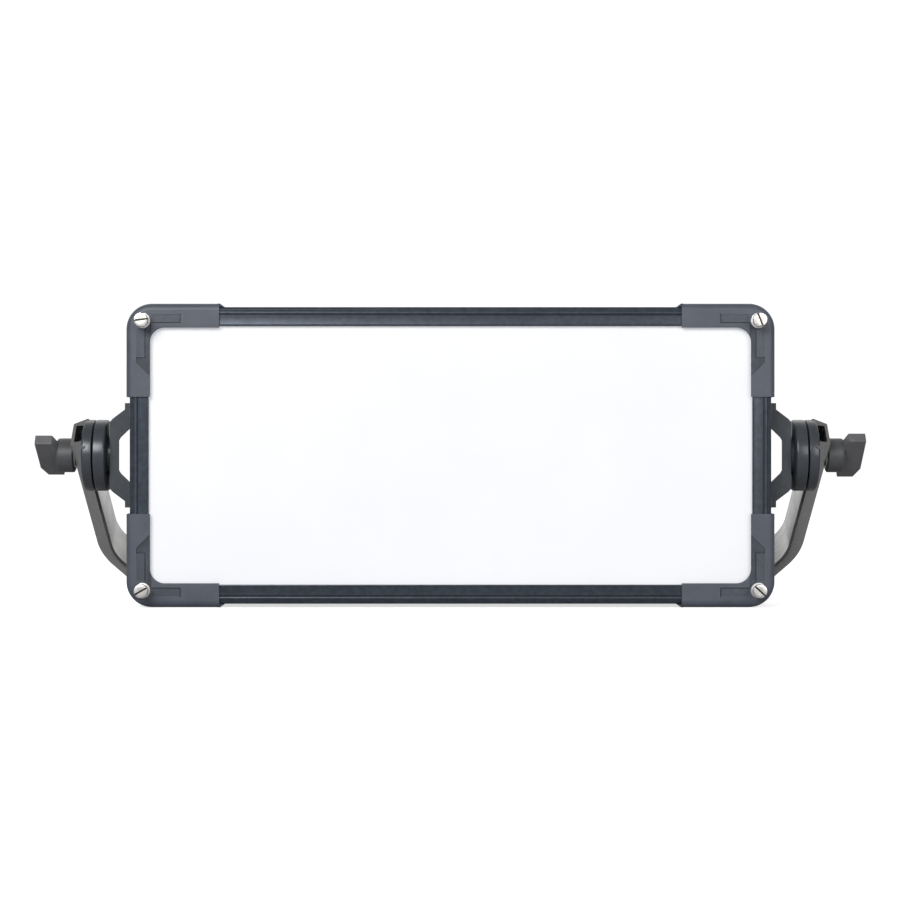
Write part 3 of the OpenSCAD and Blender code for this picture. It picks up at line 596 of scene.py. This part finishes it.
def corner_cutters():
    """A recessed pad with a groove round it on each arm, and a slanted recess beside the upright arm's pad.
    Outlines are (distance in from the arm's outer edge, distance along the arm from the corner)."""
    inner = LIP_D + 1.5
    edge = PAD_D0 - GROOVE_W
    pad = [(PAD_D0, PAD_START), (PAD_D0, PAD_END), (PAD_D1, PAD_END), (PAD_D1, PAD_START)]
    groove = [(PAD_START, PAD_D1), (PAD_END, PAD_D1), (PAD_END, edge), (PAD_END + GROOVE_W, edge),
              (PAD_END + GROOVE_W, PAD_D1 + GROOVE_W), (PAD_START, PAD_D1 + GROOVE_W)]
    groove = [(across, along) for along, across in groove]
    recess = [(PAD_D1 + 0.2, PAD_D1), (PAD_D1 + 0.2, PAD_END + 0.2), (RECESS_D0, PAD_END + 0.2),
              (RECESS_D0, RECESS_END), (inner, RECESS_END + inner - RECESS_D0), (inner, PAD_D1)]
    shapes = []
    for outline, depth, arms in ((pad, PAD_DEPTH, "xz"), (groove, GROOVE_DEPTH, "xz"),
                                 (recess, RECESS_DEPTH, "z")):
        if "z" in arms:
            shapes.append(prism([(HALF_W - a, HALF_H - b) for a, b in outline], CUT_FROM, depth))
        if "x" in arms:
            shapes.append(prism([(HALF_W - b, HALF_H - a) for a, b in outline], CUT_FROM, depth))
    return shapes


def casting_recess_shade(p):
    """How much painted shade a point of the casting's front takes: its depth, from 0 at its face to 1 in
    the grooves.
    """
    return min(1.0, p.y / GROOVE_DEPTH)


casting, tongue = corner_casting()
for name, sx, sz in (("top_left", -1, 1), ("top_right", 1, 1),
                     ("bottom_left", -1, -1), ("bottom_right", 1, -1)):
    cuts = [shape.mirrored(sx, sz) for shape in corner_cutters()]
    make(f"{name}_bumper", casting.mirrored(sx, sz), "panel", "corner",
         replaces=[f"{name}_corner"], bevel=0.3, steps=3, angle=38, cut=cuts, recess_shade=casting_recess_shade)
    make(f"{name}_bumper_tongue", tongue.mirrored(sx, sz), "panel", "rail", bevel=0.5, steps=3)

# Section of a rail: first number outwards from the window's edge, second back from the front face
RAIL_W = 19.5
RIDGE = arc((13.6, 3.75), 2.5, 218, 322, 8)
RAIL_FRONT = [(0.0, 5.0), (0.0, 2.5), (0.25, 2.05), (0.7, 1.85), (1.2, 1.85), (1.6, 2.15),
              (1.9, 2.25), (10.6, 2.25), (10.9, 2.7), (11.3, 2.8)]
RAIL_SIDE = [(16.1, 2.6), (16.6, 2.7), (18.3, 3.5), (19.1, 4.2), (RAIL_W, 5.2), (RAIL_W, 12.0),
             (18.3, 12.3), (18.3, 15.7), (RAIL_W, 16.0), (RAIL_W, 26.0), (18.3, 26.3), (18.3, 29.7),
             (RAIL_W, 30.0), (RAIL_W, 70.0), (19.2, 70.3), (19.2, 71.7), (RAIL_W, 72.0),
             (RAIL_W, 87.4),
             (19.0, 88.0), (3.0, 88.0), (3.0, 85.0), (16.5, 85.0), (16.5, 5.0)]
RAIL_SECTION = RAIL_FRONT + RIDGE + RAIL_SIDE


def rail(outer, half_length, upright, sign):
    """A rail's section drawn along X, or along Z for an upright one."""
    low = outer - RAIL_W
    rings = []
    for end in (-half_length, half_length):
        if upright:
            rings.append([Vector((sign * (low + u), v, end)) for u, v in RAIL_SECTION])
        else:
            rings.append([Vector((end, v, sign * (low + u))) for u, v in RAIL_SECTION])
    return skin(rings)


for name, outer, half, upright, sign in (
        ("top", RAIL_Z, RAIL_END_X, False, 1), ("bottom", RAIL_Z, RAIL_END_X, False, -1),
        ("left", RAIL_X, RAIL_END_Z, True, -1), ("right", RAIL_X, RAIL_END_Z, True, 1)):
    make(f"{name}_extrusion", rail(outer, half, upright, sign), "panel", "rail",
         replaces=[f"{name}_rail"], sharp=32)

# Corner screws: a turned cap with a fine knurl, a neck and a base ring, and a slot at its own angle
SCREW_R = 7.1
SCREW_INSET = 17.5
KNURLS, KNURL_DEPTH = 48, 0.18
SLOT_HALF_LENGTH = 9.0
SLOT_W, SLOT_DEPTH = 1.8, 2.4
SLOT_TURNS = {(-1, 1): -8.0, (1, 1): 68.0, (-1, -1): -30.0, (1, -1): 42.0}


def screw_profile():
    top = -SCREW_PROUD
    return [(0.8, top + 0.12), (3.0, top + 0.06), (6.0, top), (6.6, top + 0.15), (SCREW_R, top + 0.7),
            (SCREW_R, top + 8.0), (SCREW_R - 0.5, top + 8.6), (5.5, top + 8.8), (5.5, top + 14.6),
            (SCREW_R + 0.3, top + 14.9), (SCREW_R + 0.8, top + 15.4), (SCREW_R + 0.8, 0.0)]


def knurled(radius, height, turn):
    """Fine teeth round the cap's side only."""
    down = height + SCREW_PROUD
    side = 0.6 < down < 8.2 and radius > SCREW_R - 0.1
    return radius - (KNURL_DEPTH if side and int(turn * KNURLS / math.pi + 0.5) % 2 else 0.0)


def turned_about(cx, cz):
    """Grain that rings an axis along Y: radius and height only."""
    return lambda p: Vector((math.hypot(p.x - cx, p.z - cz), p.y, 0.0))


screws, slots, screw_axes = [], [], []
for (sx, sz), turn in SLOT_TURNS.items():
    cx, cz = sx * (HALF_W - SCREW_INSET), sz * (HALF_H - SCREW_INSET)
    shift = Matrix.Translation((cx, 0.0, cz))
    screw_axes.append((cx, cz))
    screws.append(lathe(screw_profile(), "y", 96, knurled).moved(shift))
    slot_box = prism(rounded_rect(SLOT_HALF_LENGTH, SLOT_W / 2, 0.2, 2), -SCREW_PROUD - 2,
                     SLOT_DEPTH - SCREW_PROUD)
    slots.append(slot_box.moved(shift @ Matrix.Rotation(math.radians(turn), 4, "Y")))


def screw_grain(p):
    """Grain that rings the nearest screw."""
    nearest = min(screw_axes, key=lambda c: math.hypot(p.x - c[0], p.z - c[1]))
    return turned_about(*nearest)(p)


def slot_floor_shade(p):
    """1 on the floor of a screw's slot, which takes painted shadow."""
    return 1.0 if abs(p.y + SCREW_PROUD - SLOT_DEPTH) < 0.3 else 0.0


make("corner_thumb_screws", screws, "panel", "nickel", replaces=["corner_screws"], cut=slots,
     grain=screw_grain, sharp=28, recess_shade=slot_floor_shade)

# ---- Tilt pivots ----

DISC_R = from_axis("right_inner_disc")[1].z
INNER_X0, INNER_X1 = from_axis("right_inner_disc")[0].x, from_axis("right_inner_disc")[1].x
OUTER_X0, OUTER_X1 = from_axis("right_yoke_end")[0].x, from_axis("right_yoke_end")[1].x
YOKE_DISC_X1 = 379.9
PLATE_X0 = 355.5
BORE_R = 5.1
INNER_HUB_R, OUTER_HUB_R = 20.0, 11.0
DISC_SEGMENTS = 128


def turned_x(p):
    """Grain that rings the tilt axis."""
    return Vector((math.hypot(p.y, p.z), p.x, 0.0))


def disc_profile(x0, x1, radius, soft_in, soft_out, bore, hub_r, hub_end):
    """Closed loop for a ring with soft shoulders and a hub that reaches hub_end."""
    points = []
    for a, b in arc((0, 0), 1, 180, 90, 5):
        points.append((radius - soft_in + soft_in * b, x0 + soft_in + soft_in * a))
    for a, b in arc((0, 0), 1, 90, 0, 5):
        points.append((radius - soft_out + soft_out * b, x1 - soft_out + soft_out * a))
    if hub_end > x1:
        points += [(hub_r + 0.6, x1), (hub_r, x1 + 0.4), (hub_r, hub_end - 0.3)]
        points += [(hub_r - 0.4, hub_end), (bore, hub_end), (bore, x0)]
    else:
        points += [(bore, x1), (bore, hub_end), (hub_r - 0.4, hub_end), (hub_r, hub_end + 0.3)]
        points += [(hub_r, x0 - 0.4), (hub_r + 0.6, x0)]
    return points


for name, sx in (("left", -1), ("right", 1)):
    inner = tube(disc_profile(PLATE_X0, INNER_X1, DISC_R, 2.2, 1.0, BORE_R, INNER_HUB_R, INNER_X0),
                 "x", DISC_SEGMENTS)
    make(f"{name}_clamp_disc", inner.mirrored(sx), "panel", "disc", place=AXIS_PLACE,
         replaces=[f"{name}_inner_disc"], grain=turned_x, sharp=40)
    outer = tube(disc_profile(OUTER_X0, YOKE_DISC_X1, DISC_R, 0.8, 2.4, BORE_R, OUTER_HUB_R,
                              OUTER_X1), "x", DISC_SEGMENTS)
    make(f"{name}_yoke_disc", outer.mirrored(sx), "yoke", "disc", place=YOKE_PLACE,
         replaces=[f"{name}_yoke_end"], grain=turned_x, sharp=40)

# ---- Yoke bar: a hollow section swept down an arm, round two bends, across and up again ----

ARM_X = 388.5
ARM_TOP = 30.0
ARM_LEAN = 5.1
DIAGONAL_LEAN = 35.5
BEND_1_R, BEND_2_R = 74.0, 40.0
BEND_1_S = 112.0
ARM_STEPS, BEND_1_STEPS, DIAGONAL_STEPS, BEND_2_STEPS, ACROSS_STEPS = 9, 14, 4, 20, 8
BAR_W, BAR_OUTER_W, BAR_CHAMFER, BAR_WALL = 45.0, 31.0, 2.4, 3.2
PIVOT_HOLE_R, BUSHING_HOLE_R = 11.3, 10.05


def bend(centre, radius, start, end, steps):
    """Stations (x, z, lean) round a bend, from one lean to another."""
    leans = [start + (end - start) * k / steps for k in range(steps + 1)]
    return [(centre[0] + radius * math.cos(a), centre[1] - radius * math.sin(a), a) for a in leans]


def yoke_stations():
    """Points (x, z) of the bar's outer face, from the right arm's top to the left arm's, and its lean."""
    lean, diagonal = math.radians(ARM_LEAN), math.radians(DIAGONAL_LEAN)
    x1 = ARM_X - BEND_1_S * math.tan(lean)
    centre_1 = (x1 - BEND_1_R * math.cos(lean), -BEND_1_S + BEND_1_R * math.sin(lean))
    end_x = centre_1[0] + BEND_1_R * math.cos(diagonal)
    end_z = centre_1[1] - BEND_1_R * math.sin(diagonal)
    drop = YOKE_REACH - BEND_2_R * (1 - math.sin(diagonal)) + end_z
    x2, z2 = end_x - drop * math.tan(diagonal), end_z - drop
    centre_2 = (x2 - BEND_2_R * math.cos(diagonal), z2 + BEND_2_R * math.sin(diagonal))
    stations = []
    for k in range(ARM_STEPS):
        z = ARM_TOP + (-BEND_1_S - ARM_TOP) * k / ARM_STEPS
        stations.append((ARM_X + z * math.tan(lean), z, lean))
    stations += bend(centre_1, BEND_1_R, lean, diagonal, BEND_1_STEPS)
    for k in range(1, DIAGONAL_STEPS):
        t = k / DIAGONAL_STEPS
        stations.append((end_x + (x2 - end_x) * t, end_z + (z2 - end_z) * t, diagonal))
    stations += bend(centre_2, BEND_2_R, diagonal, math.pi / 2, BEND_2_STEPS)
    half = list(stations)
    for k in range(1, ACROSS_STEPS):
        stations.append((centre_2[0] * (1 - 2 * k / ACROSS_STEPS), -YOKE_REACH, math.pi / 2))
    stations += [(-x, z, math.pi - a) for x, z, a in reversed(half)]
    return stations


def swept_bar():
    """The tube open at both ends, with its numbers of points outside and inside a ring, and of rings."""
    half_out, half_in = BAR_OUTER_W / 2, BAR_W / 2
    envelope = filleted([
        (0, -half_out), (0, half_out), (-BAR_T + BAR_CHAMFER, half_in),
        (-BAR_T, half_in - BAR_CHAMFER), (-BAR_T, -half_in + BAR_CHAMFER),
        (-BAR_T + BAR_CHAMFER, -half_in)], [1.6, 1.6, 0.5, 0.5, 0.5, 0.5])
    cavity_half = half_out - BAR_WALL
    cavity = filleted([
        (-BAR_WALL, -cavity_half), (-BAR_WALL, cavity_half),
        (-BAR_T + BAR_WALL, cavity_half), (-BAR_T + BAR_WALL, -cavity_half)], 1.2, 5)
    loops = []
    for outline in (envelope, cavity):
        rings = []
        for x, z, lean in yoke_stations():
            out = Vector((math.cos(lean), 0.0, -math.sin(lean)))
            rings.append([Vector((x, 0.0, z)) + out * a + Vector((0.0, b, 0.0)) for a, b in outline])
        loops.append(rings)
    n, m = len(envelope), len(cavity)
    outer, inner = skin(loops[0]), skin(loops[1])
    bar = Shape(outer.points + inner.points, outer.faces[:-2])
    start = len(outer.points)
    bar.faces = list(bar.faces) + [tuple(i + start for i in reversed(f)) for f in inner.faces[:-2]]
    return bar, n, m, len(loops[0]), start


def bar_mesh_with_ends():
    """Closes both open ends of the tube with a flat rim between its outside and its cavity."""
    bar, n, m, count, start = swept_bar()
    for ring in (0, count - 1):
        outside = [ring * n + k for k in range(n)]
        inside = [start + ring * m + k for k in range(m)]
        bar.faces += rim(bar.points, outside, inside)
    return bar


def rim(points, outside, inside):
    """Triangles between two closed loops, walked round together by angle about the loops' middle."""
    middle = sum((points[i] for i in inside), Vector()) / len(inside)
    across = Vector((0.0, 1.0, 0.0))
    other = max((points[i] - middle for i in outside), key=lambda v: abs(v.x) + abs(v.z))
    other = (other - across * other.dot(across)).normalized()

    def turn(i):
        away = points[i] - middle
        return math.atan2(away.dot(other), away.dot(across)) % (2 * math.pi)

    a, b = sorted(outside, key=turn), sorted(inside, key=turn)
    faces, i, j = [], 0, 0
    while i < len(a) or j < len(b):
        next_a = turn(a[i]) if i < len(a) else math.inf
        next_b = turn(b[j]) if j < len(b) else math.inf
        last_a, last_b = a[i - 1], b[j - 1]
        if next_a <= next_b:
            faces.append((last_a, a[i], last_b))
            i += 1
        else:
            faces.append((last_a, b[j], last_b))
            j += 1
    return faces


STATIONS = yoke_stations()
STATION_LENGTHS = [0.0]
for before, after in zip(STATIONS, STATIONS[1:]):
    step = math.hypot(after[0] - before[0], after[1] - before[1])
    STATION_LENGTHS.append(STATION_LENGTHS[-1] + step)


def bar_grain(p):
    """Position in the straightened bar: depth from its outer face, across it and along it."""
    i = min(range(len(STATIONS)),
            key=lambda k: abs((p.x - STATIONS[k][0]) * math.sin(STATIONS[k][2])
                              + (p.z - STATIONS[k][1]) * math.cos(STATIONS[k][2]))
            + 0.2 * math.hypot(p.x - STATIONS[k][0], p.z - STATIONS[k][1]))
    x, z, lean = STATIONS[i]
    depth = (p.x - x) * math.cos(lean) - (p.z - z) * math.sin(lean)
    return Vector((depth, p.y, STATION_LENGTHS[i]))


def pivot_hole(low, high):
    """A rod along the tilt axis that cuts the hole for the stud and the disc's hub."""
    return lathe([(PIVOT_HOLE_R, low), (PIVOT_HOLE_R, high)], "x", 48)


bar_holes = [
    pivot_hole(360.0, 400.0), pivot_hole(-400.0, -360.0),
    prism(arc((0, 0), BUSHING_HOLE_R, 0, 360 - 7.5, 47), -YOKE_REACH - 1,
          -YOKE_REACH + BAR_T + 1, "z"),
]
make("yoke_tube", bar_mesh_with_ends(), "yoke", "yoke", place=YOKE_PLACE, replaces=["yoke_bar"],
     cut=bar_holes, grain=bar_grain, sharp=38)

# ---- Clamping knobs ----

KNOB_X0, KNOB_X1 = from_axis("right_knob")[0].x, from_axis("right_knob")[1].x
KNOB_REACH = 29.0
KNOB_T = 11.0
HUB_R, HUB_LEN = 17.7, 18.2
KNOB_TURNS = {"left": 56.0, "right": 50.0}


def knob_bar():
    return prism([
        (KNOB_X1, KNOB_REACH), (KNOB_X1 - 17.5, KNOB_REACH), (KNOB_X1 - 23.3, 14.0),
        (KNOB_X1 - 23.3, -KNOB_REACH), (KNOB_X1 - 6.5, -KNOB_REACH),
        (KNOB_X1, 13.0 - KNOB_REACH)], -KNOB_T / 2, KNOB_T / 2, "y")


def knob_hub():
    profile = [(BORE_R, 0.0), (HUB_R - 1.4, 0.0), (HUB_R, 1.0), (HUB_R, HUB_LEN - 3.2),
               (HUB_R - 0.6, HUB_LEN - 1.2), (HUB_R - 2.4, HUB_LEN), (BORE_R, HUB_LEN)]
    return tube([(r, KNOB_X0 + h) for r, h in profile], "x", 96)


for name, sx in (("left", -1), ("right", 1)):
    turn = Matrix.Rotation(math.radians(KNOB_TURNS[name]), 4, "X")
    bar, hub = knob_bar().moved(turn), knob_hub()
    make(f"{name}_knob_lever", bar.mirrored(sx), f"{name}_knob", "knob", place=AXIS_PLACE,
         replaces=[f"{name}_knob"], bevel=0.8, steps=3)
    # The hub takes the darker knob_hub finish: painted shade.
    make(f"{name}_knob_hub", hub.mirrored(sx), f"{name}_knob", "knob", place=AXIS_PLACE,
         grain=turned_x, sharp=40, look="knob_hub")

# ---- Rear controls ----

FLUTES, FLUTE_DEPTH, FLUTE_FROM = 24, 0.35, 8.0
CAP_HEIGHT = 15.0


def fluted(flutes, depth):
    """Even flutes down the side of an encoder knob, outside FLUTE_FROM."""
    def radius_at(radius, _height, turn):
        if radius <= FLUTE_FROM:
            return radius
        return radius - depth * (0.5 - 0.5 * math.cos(flutes * turn))
    return radius_at


for name in ("intensity", "color", "menu"):
    low, high = from_axis(f"{name}_knob")
    cx, cz = (low.x + high.x) / 2, (low.z + high.z) / 2
    top, base, r = high.y, high.y - CAP_HEIGHT, (high.x - low.x) / 2
    profile = [(3.0, low.y), (3.0, base), (r - 1.2, base), (r - 0.4, base + 0.3), (r, base + 1.2),
               (r, base + 3.2), (r - 0.5, base + 3.7), (r - 0.5, top - 1.6), (r - 0.9, top - 0.5),
               (r - 1.8, top), (r - 2.6, top - 0.05), (r - 3.0, top - 0.5), (0.5, top - 0.6)]
    cap = lathe(profile, "y", 144, fluted(FLUTES, FLUTE_DEPTH))
    cap = cap.moved(Matrix.Translation((cx, 0, cz)))
    mark = prism(rounded_rect(0.55, 2.6, 0.5, 3, (cx, cz + 5.2)), top - 1.1, top + 0.5)
    make(f"{name}_encoder", cap, f"{name}_knob", "encoder", replaces=[f"{name}_knob"],
         cut=[mark], grain=turned_about(cx, cz), sharp=35)

# Fan guards: round wire rings on two crossed wires
WIRE_R = 0.95
RING_RADII = (11, 20, 29, 38)


def wire_ring(cx, cz, radius, y):
    loop = arc((0, 0), WIRE_R, 0, 330, 11)
    profile = [(radius + a, y + b) for a, b in loop]
    return tube(profile, "y", 96).moved(Matrix.Translation((cx, 0, cz)))


def wire_rod(cx, cz, angle, reach, y):
    straight = lathe([(WIRE_R, -reach), (WIRE_R, reach)], "x", 12)
    place = Matrix.Translation((cx, y, cz)) @ Matrix.Rotation(math.radians(angle), 4, "Y")
    return straight.moved(place)


guards = []
guard_low, guard_high = from_axis("fan_grilles")
guard_r = (guard_high.z - guard_low.z) / 2
guard_z = (guard_high.z + guard_low.z) / 2
for sx in (-1, 1):
    cx = sx * (guard_high.x - guard_r)
    guards += [wire_ring(cx, guard_z, r - WIRE_R, BACK_Y + WIRE_R) for r in (*RING_RADII, guard_r)]
    guards += [wire_rod(cx, guard_z, a, guard_r - 1.0, BACK_Y + WIRE_R) for a in (45, 135)]
    cap = lathe([(6.0, BACK_Y + 0.4), (6.0, BACK_Y + 1.4), (5.0, BACK_Y + 1.9), (0.5, BACK_Y + 1.95)],
                "y", 48)
    guards.append(cap.moved(Matrix.Translation((cx, 0, guard_z))))
make("fan_guards", guards, "panel", "wire", replaces=["fan_grilles"])

# Fan rotors: a hub with curved blades
BLADES = 7
BLADE_STEPS = 8
ROTOR_HUB_R = 17.0
# Outline of a blade's section: place along the chord from -1 to 1, and height in mm off its bowed middle
BLADE_SECTION = ((-1, 0.5), (-0.3, 0.8), (0.4, 0.8), (1, 0.3), (1, -0.3), (0.4, -0.6),
                 (-0.3, -0.6), (-1, -0.4))


def rotor(low, high):
    cx, cz = (low.x + high.x) / 2, (low.z + high.z) / 2
    reach = (high.z - low.z) / 2 - 0.4
    mid, half = (low.y + high.y) / 2, (high.y - low.y) / 2
    rim_r = ROTOR_HUB_R + 1.0
    hub = lathe([(ROTOR_HUB_R, mid - 8.0), (rim_r, mid - 7.0), (rim_r, mid + 7.0),
                 (ROTOR_HUB_R, mid + 8.2), (1.0, mid + 8.4)], "y", 64)
    shapes = [hub]
    for i in range(BLADES):
        rings = []
        for k in range(BLADE_STEPS + 1):
            t = k / BLADE_STEPS
            r = ROTOR_HUB_R + (reach - ROTOR_HUB_R) * t
            pitch = math.radians(42 - 14 * t)
            chord = 11.0 + 3.5 * t
            sweep = math.radians(i * 360 / BLADES + 22 * t * t)
            ring = []
            for u, thick in BLADE_SECTION:
                bow = 1.6 * (1 - u * u)
                along = u * chord * math.cos(pitch) - (thick + bow) * math.sin(pitch)
                height = u * min(chord * math.sin(pitch), half - 1.5) + (thick + bow) * math.cos(pitch)
                ring.append(Vector((r * math.cos(sweep) - along * math.sin(sweep), mid + height,
                                    r * math.sin(sweep) + along * math.cos(sweep))))
            rings.append(ring)
        shapes.append(skin(rings))
    return [s.moved(Matrix.Translation((cx, 0, cz))) for s in shapes]


for name in ("left", "right"):
    make(f"{name}_rotor", rotor(*from_axis(f"{name}_impeller")), f"{name}_impeller", "fan",
         replaces=[f"{name}_impeller"], sharp=45)

# ---- CAD nodes that stay: their material, and softened edges where they show ----

EDGE_WIDTHS = {
    "housing_shell": 1.2, "rear_cover": 0.5, "control_panel": 0.5, "connector_plate": 0.5,
    "left_bracket": 0.7, "right_bracket": 0.7, "safety_eye": 0.5, "power_inlet": 0.5,
    "dmx_input": 0.35, "dmx_output": 0.35, "network_port": 0.3, "usb_port": 0.25,
    "switch_body": 0.4, "power_rocker": 0.6, "select_button": 0.5, "back_button": 0.5,
    "rear_cover_screws": 0.3, "bracket_screws": 0.3, "fan_frames": 0.5, "yoke_bushing": 0.4,
    "left_thrust_washer": 0.2, "right_thrust_washer": 0.2,
}
for node, obj in NODES.items():
    slots_of_node = obj.material_slots
    if not slots_of_node:
        obj.data.materials.append(MATERIALS[SLOT_OF[node]])
    for material_slot in slots_of_node:
        material_slot.material = MATERIALS[SLOT_OF[node]]
    if node in EDGE_WIDTHS:
        soften(obj, EDGE_WIDTHS[node], 2, 40)

# ---- Stage, lights and camera ----

FLOOR_HALF = 9.0
FLOOR_GAP = 0.0005
CAMERA_BACK = 2.336
CAMERA_X = -0.0005
CAMERA_Z = 0.160
LENS, SENSOR = 92.0, 36.0
CLIP_START, CLIP_END = 0.05, 60.0
AMBIENT_FRONT, AMBIENT_BACK = 0.24, 0.95
BACKDROP = 1.04
FLOOR_BOUNCE = (0.42, 0.42, 0.43)


def stage_material(name, colour, glow):
    """A pale floor that glows to the camera, and bounces less light than that on the object."""
    g = Graph(name)
    speck = g.noise(g.position(), 3.0, 2.0)
    tone = g.ramp(speck, [(0.3, tinted(colour, 0.985)), (0.7, colour)])
    g.link(tone, "Base Color")
    g.link(tone, "Emission Color")
    g.shader.inputs["Emission Strength"].default_value = glow
    g.shader.inputs["Roughness"].default_value = 0.8
    g.shader.inputs["Specular IOR Level"].default_value = 0.1
    bounce = g.node("ShaderNodeBsdfDiffuse", {"Color": (*FLOOR_BOUNCE, 1.0)})
    seen = g.node("ShaderNodeLightPath").outputs["Is Camera Ray"]
    choice = g.node("ShaderNodeMixShader", {0: seen, 1: bounce.outputs[0], 2: g.shader.outputs[0]})
    g.tree.links.new(choice.outputs[0], g.tree.nodes["Material Output"].inputs["Surface"])
    return g.material


def plane(name, corners, material):
    mesh = bpy.data.meshes.new(name)
    mesh.from_pydata(corners, [], [(0, 1, 2, 3)])
    mesh.materials.append(material)
    obj = bpy.data.objects.new(name, mesh)
    bpy.context.scene.collection.objects.link(obj)


floor_z = CAD_BOX[0].z - FLOOR_GAP
plane("studio_floor", [(-FLOOR_HALF, -FLOOR_HALF, floor_z), (FLOOR_HALF, -FLOOR_HALF, floor_z),
                       (FLOOR_HALF, FLOOR_HALF, floor_z), (-FLOOR_HALF, FLOOR_HALF, floor_z)],
      stage_material("studio_floor", (0.9, 0.9, 0.9), 0.75))


def studio_world():
    """Lights the studio brighter behind the light than in front of it, before a plain white backdrop."""
    world = bpy.data.worlds.new("studio")
    world.use_nodes = True
    tree = world.node_tree
    ambient = tree.nodes["Background"]
    coordinate = tree.nodes.new("ShaderNodeTexCoord")
    split = tree.nodes.new("ShaderNodeSeparateXYZ")
    ramp = tree.nodes.new("ShaderNodeMapRange")
    ramp.interpolation_type = "SMOOTHSTEP"
    for key, value in (("From Min", 0.0), ("From Max", 0.93), ("To Min", AMBIENT_FRONT),
                       ("To Max", AMBIENT_BACK)):
        ramp.inputs[key].default_value = value
    tree.links.new(coordinate.outputs["Generated"], split.inputs[0])
    tree.links.new(split.outputs["Y"], ramp.inputs["Value"])
    tree.links.new(ramp.outputs["Result"], ambient.inputs["Strength"])
    backdrop = tree.nodes.new("ShaderNodeBackground")
    backdrop.inputs["Strength"].default_value = BACKDROP
    seen = tree.nodes.new("ShaderNodeLightPath").outputs["Is Camera Ray"]
    choice = tree.nodes.new("ShaderNodeMixShader")
    tree.links.new(seen, choice.inputs[0])
    tree.links.new(ambient.outputs[0], choice.inputs[1])
    tree.links.new(backdrop.outputs[0], choice.inputs[2])
    tree.links.new(choice.outputs[0], tree.nodes["World Output"].inputs["Surface"])
    for background in (ambient, backdrop):
        background.inputs["Color"].default_value = (1.0, 1.0, 1.0, 1.0)
    bpy.context.scene.world = world


def softbox(name, place, target, width, height, power, colour=(1.0, 1.0, 1.0)):
    data = bpy.data.lights.new(name, "AREA")
    data.shape = "RECTANGLE"
    data.size, data.size_y = width, height
    data.energy = power
    data.color = colour
    obj = bpy.data.objects.new(name, data)
    obj.location = place
    obj.rotation_euler = (Vector(target) - Vector(place)).to_track_quat("-Z", "Y").to_euler()
    bpy.context.scene.collection.objects.link(obj)


studio_world()
middle = Vector((0.0, AXIS.y, AXIS.z))
softbox("key_softbox", (-1.3, -3.0, 1.7), middle, 1.8, 1.4, 88.0, (0.97, 0.985, 1.0))
softbox("fill_softbox", (1.6, -2.9, 1.0), middle, 1.6, 1.4, 32.0)
softbox("back_softbox", (0.0, 2.6, 2.2), middle, 2.4, 1.2, 5.0)

camera = bpy.data.objects.new("camera", bpy.data.cameras.new("camera"))
camera.data.lens = LENS
camera.data.sensor_width = SENSOR
camera.data.clip_start = CLIP_START
camera.data.clip_end = CLIP_END
camera.location = (CAMERA_X, FRONT_Y - CAMERA_BACK, CAMERA_Z)
camera.rotation_euler = (math.radians(90.0), 0.0, 0.0)
bpy.context.scene.collection.objects.link(camera)
bpy.context.scene.camera = camera
bpy.context.scene.view_settings.view_transform = "Standard"
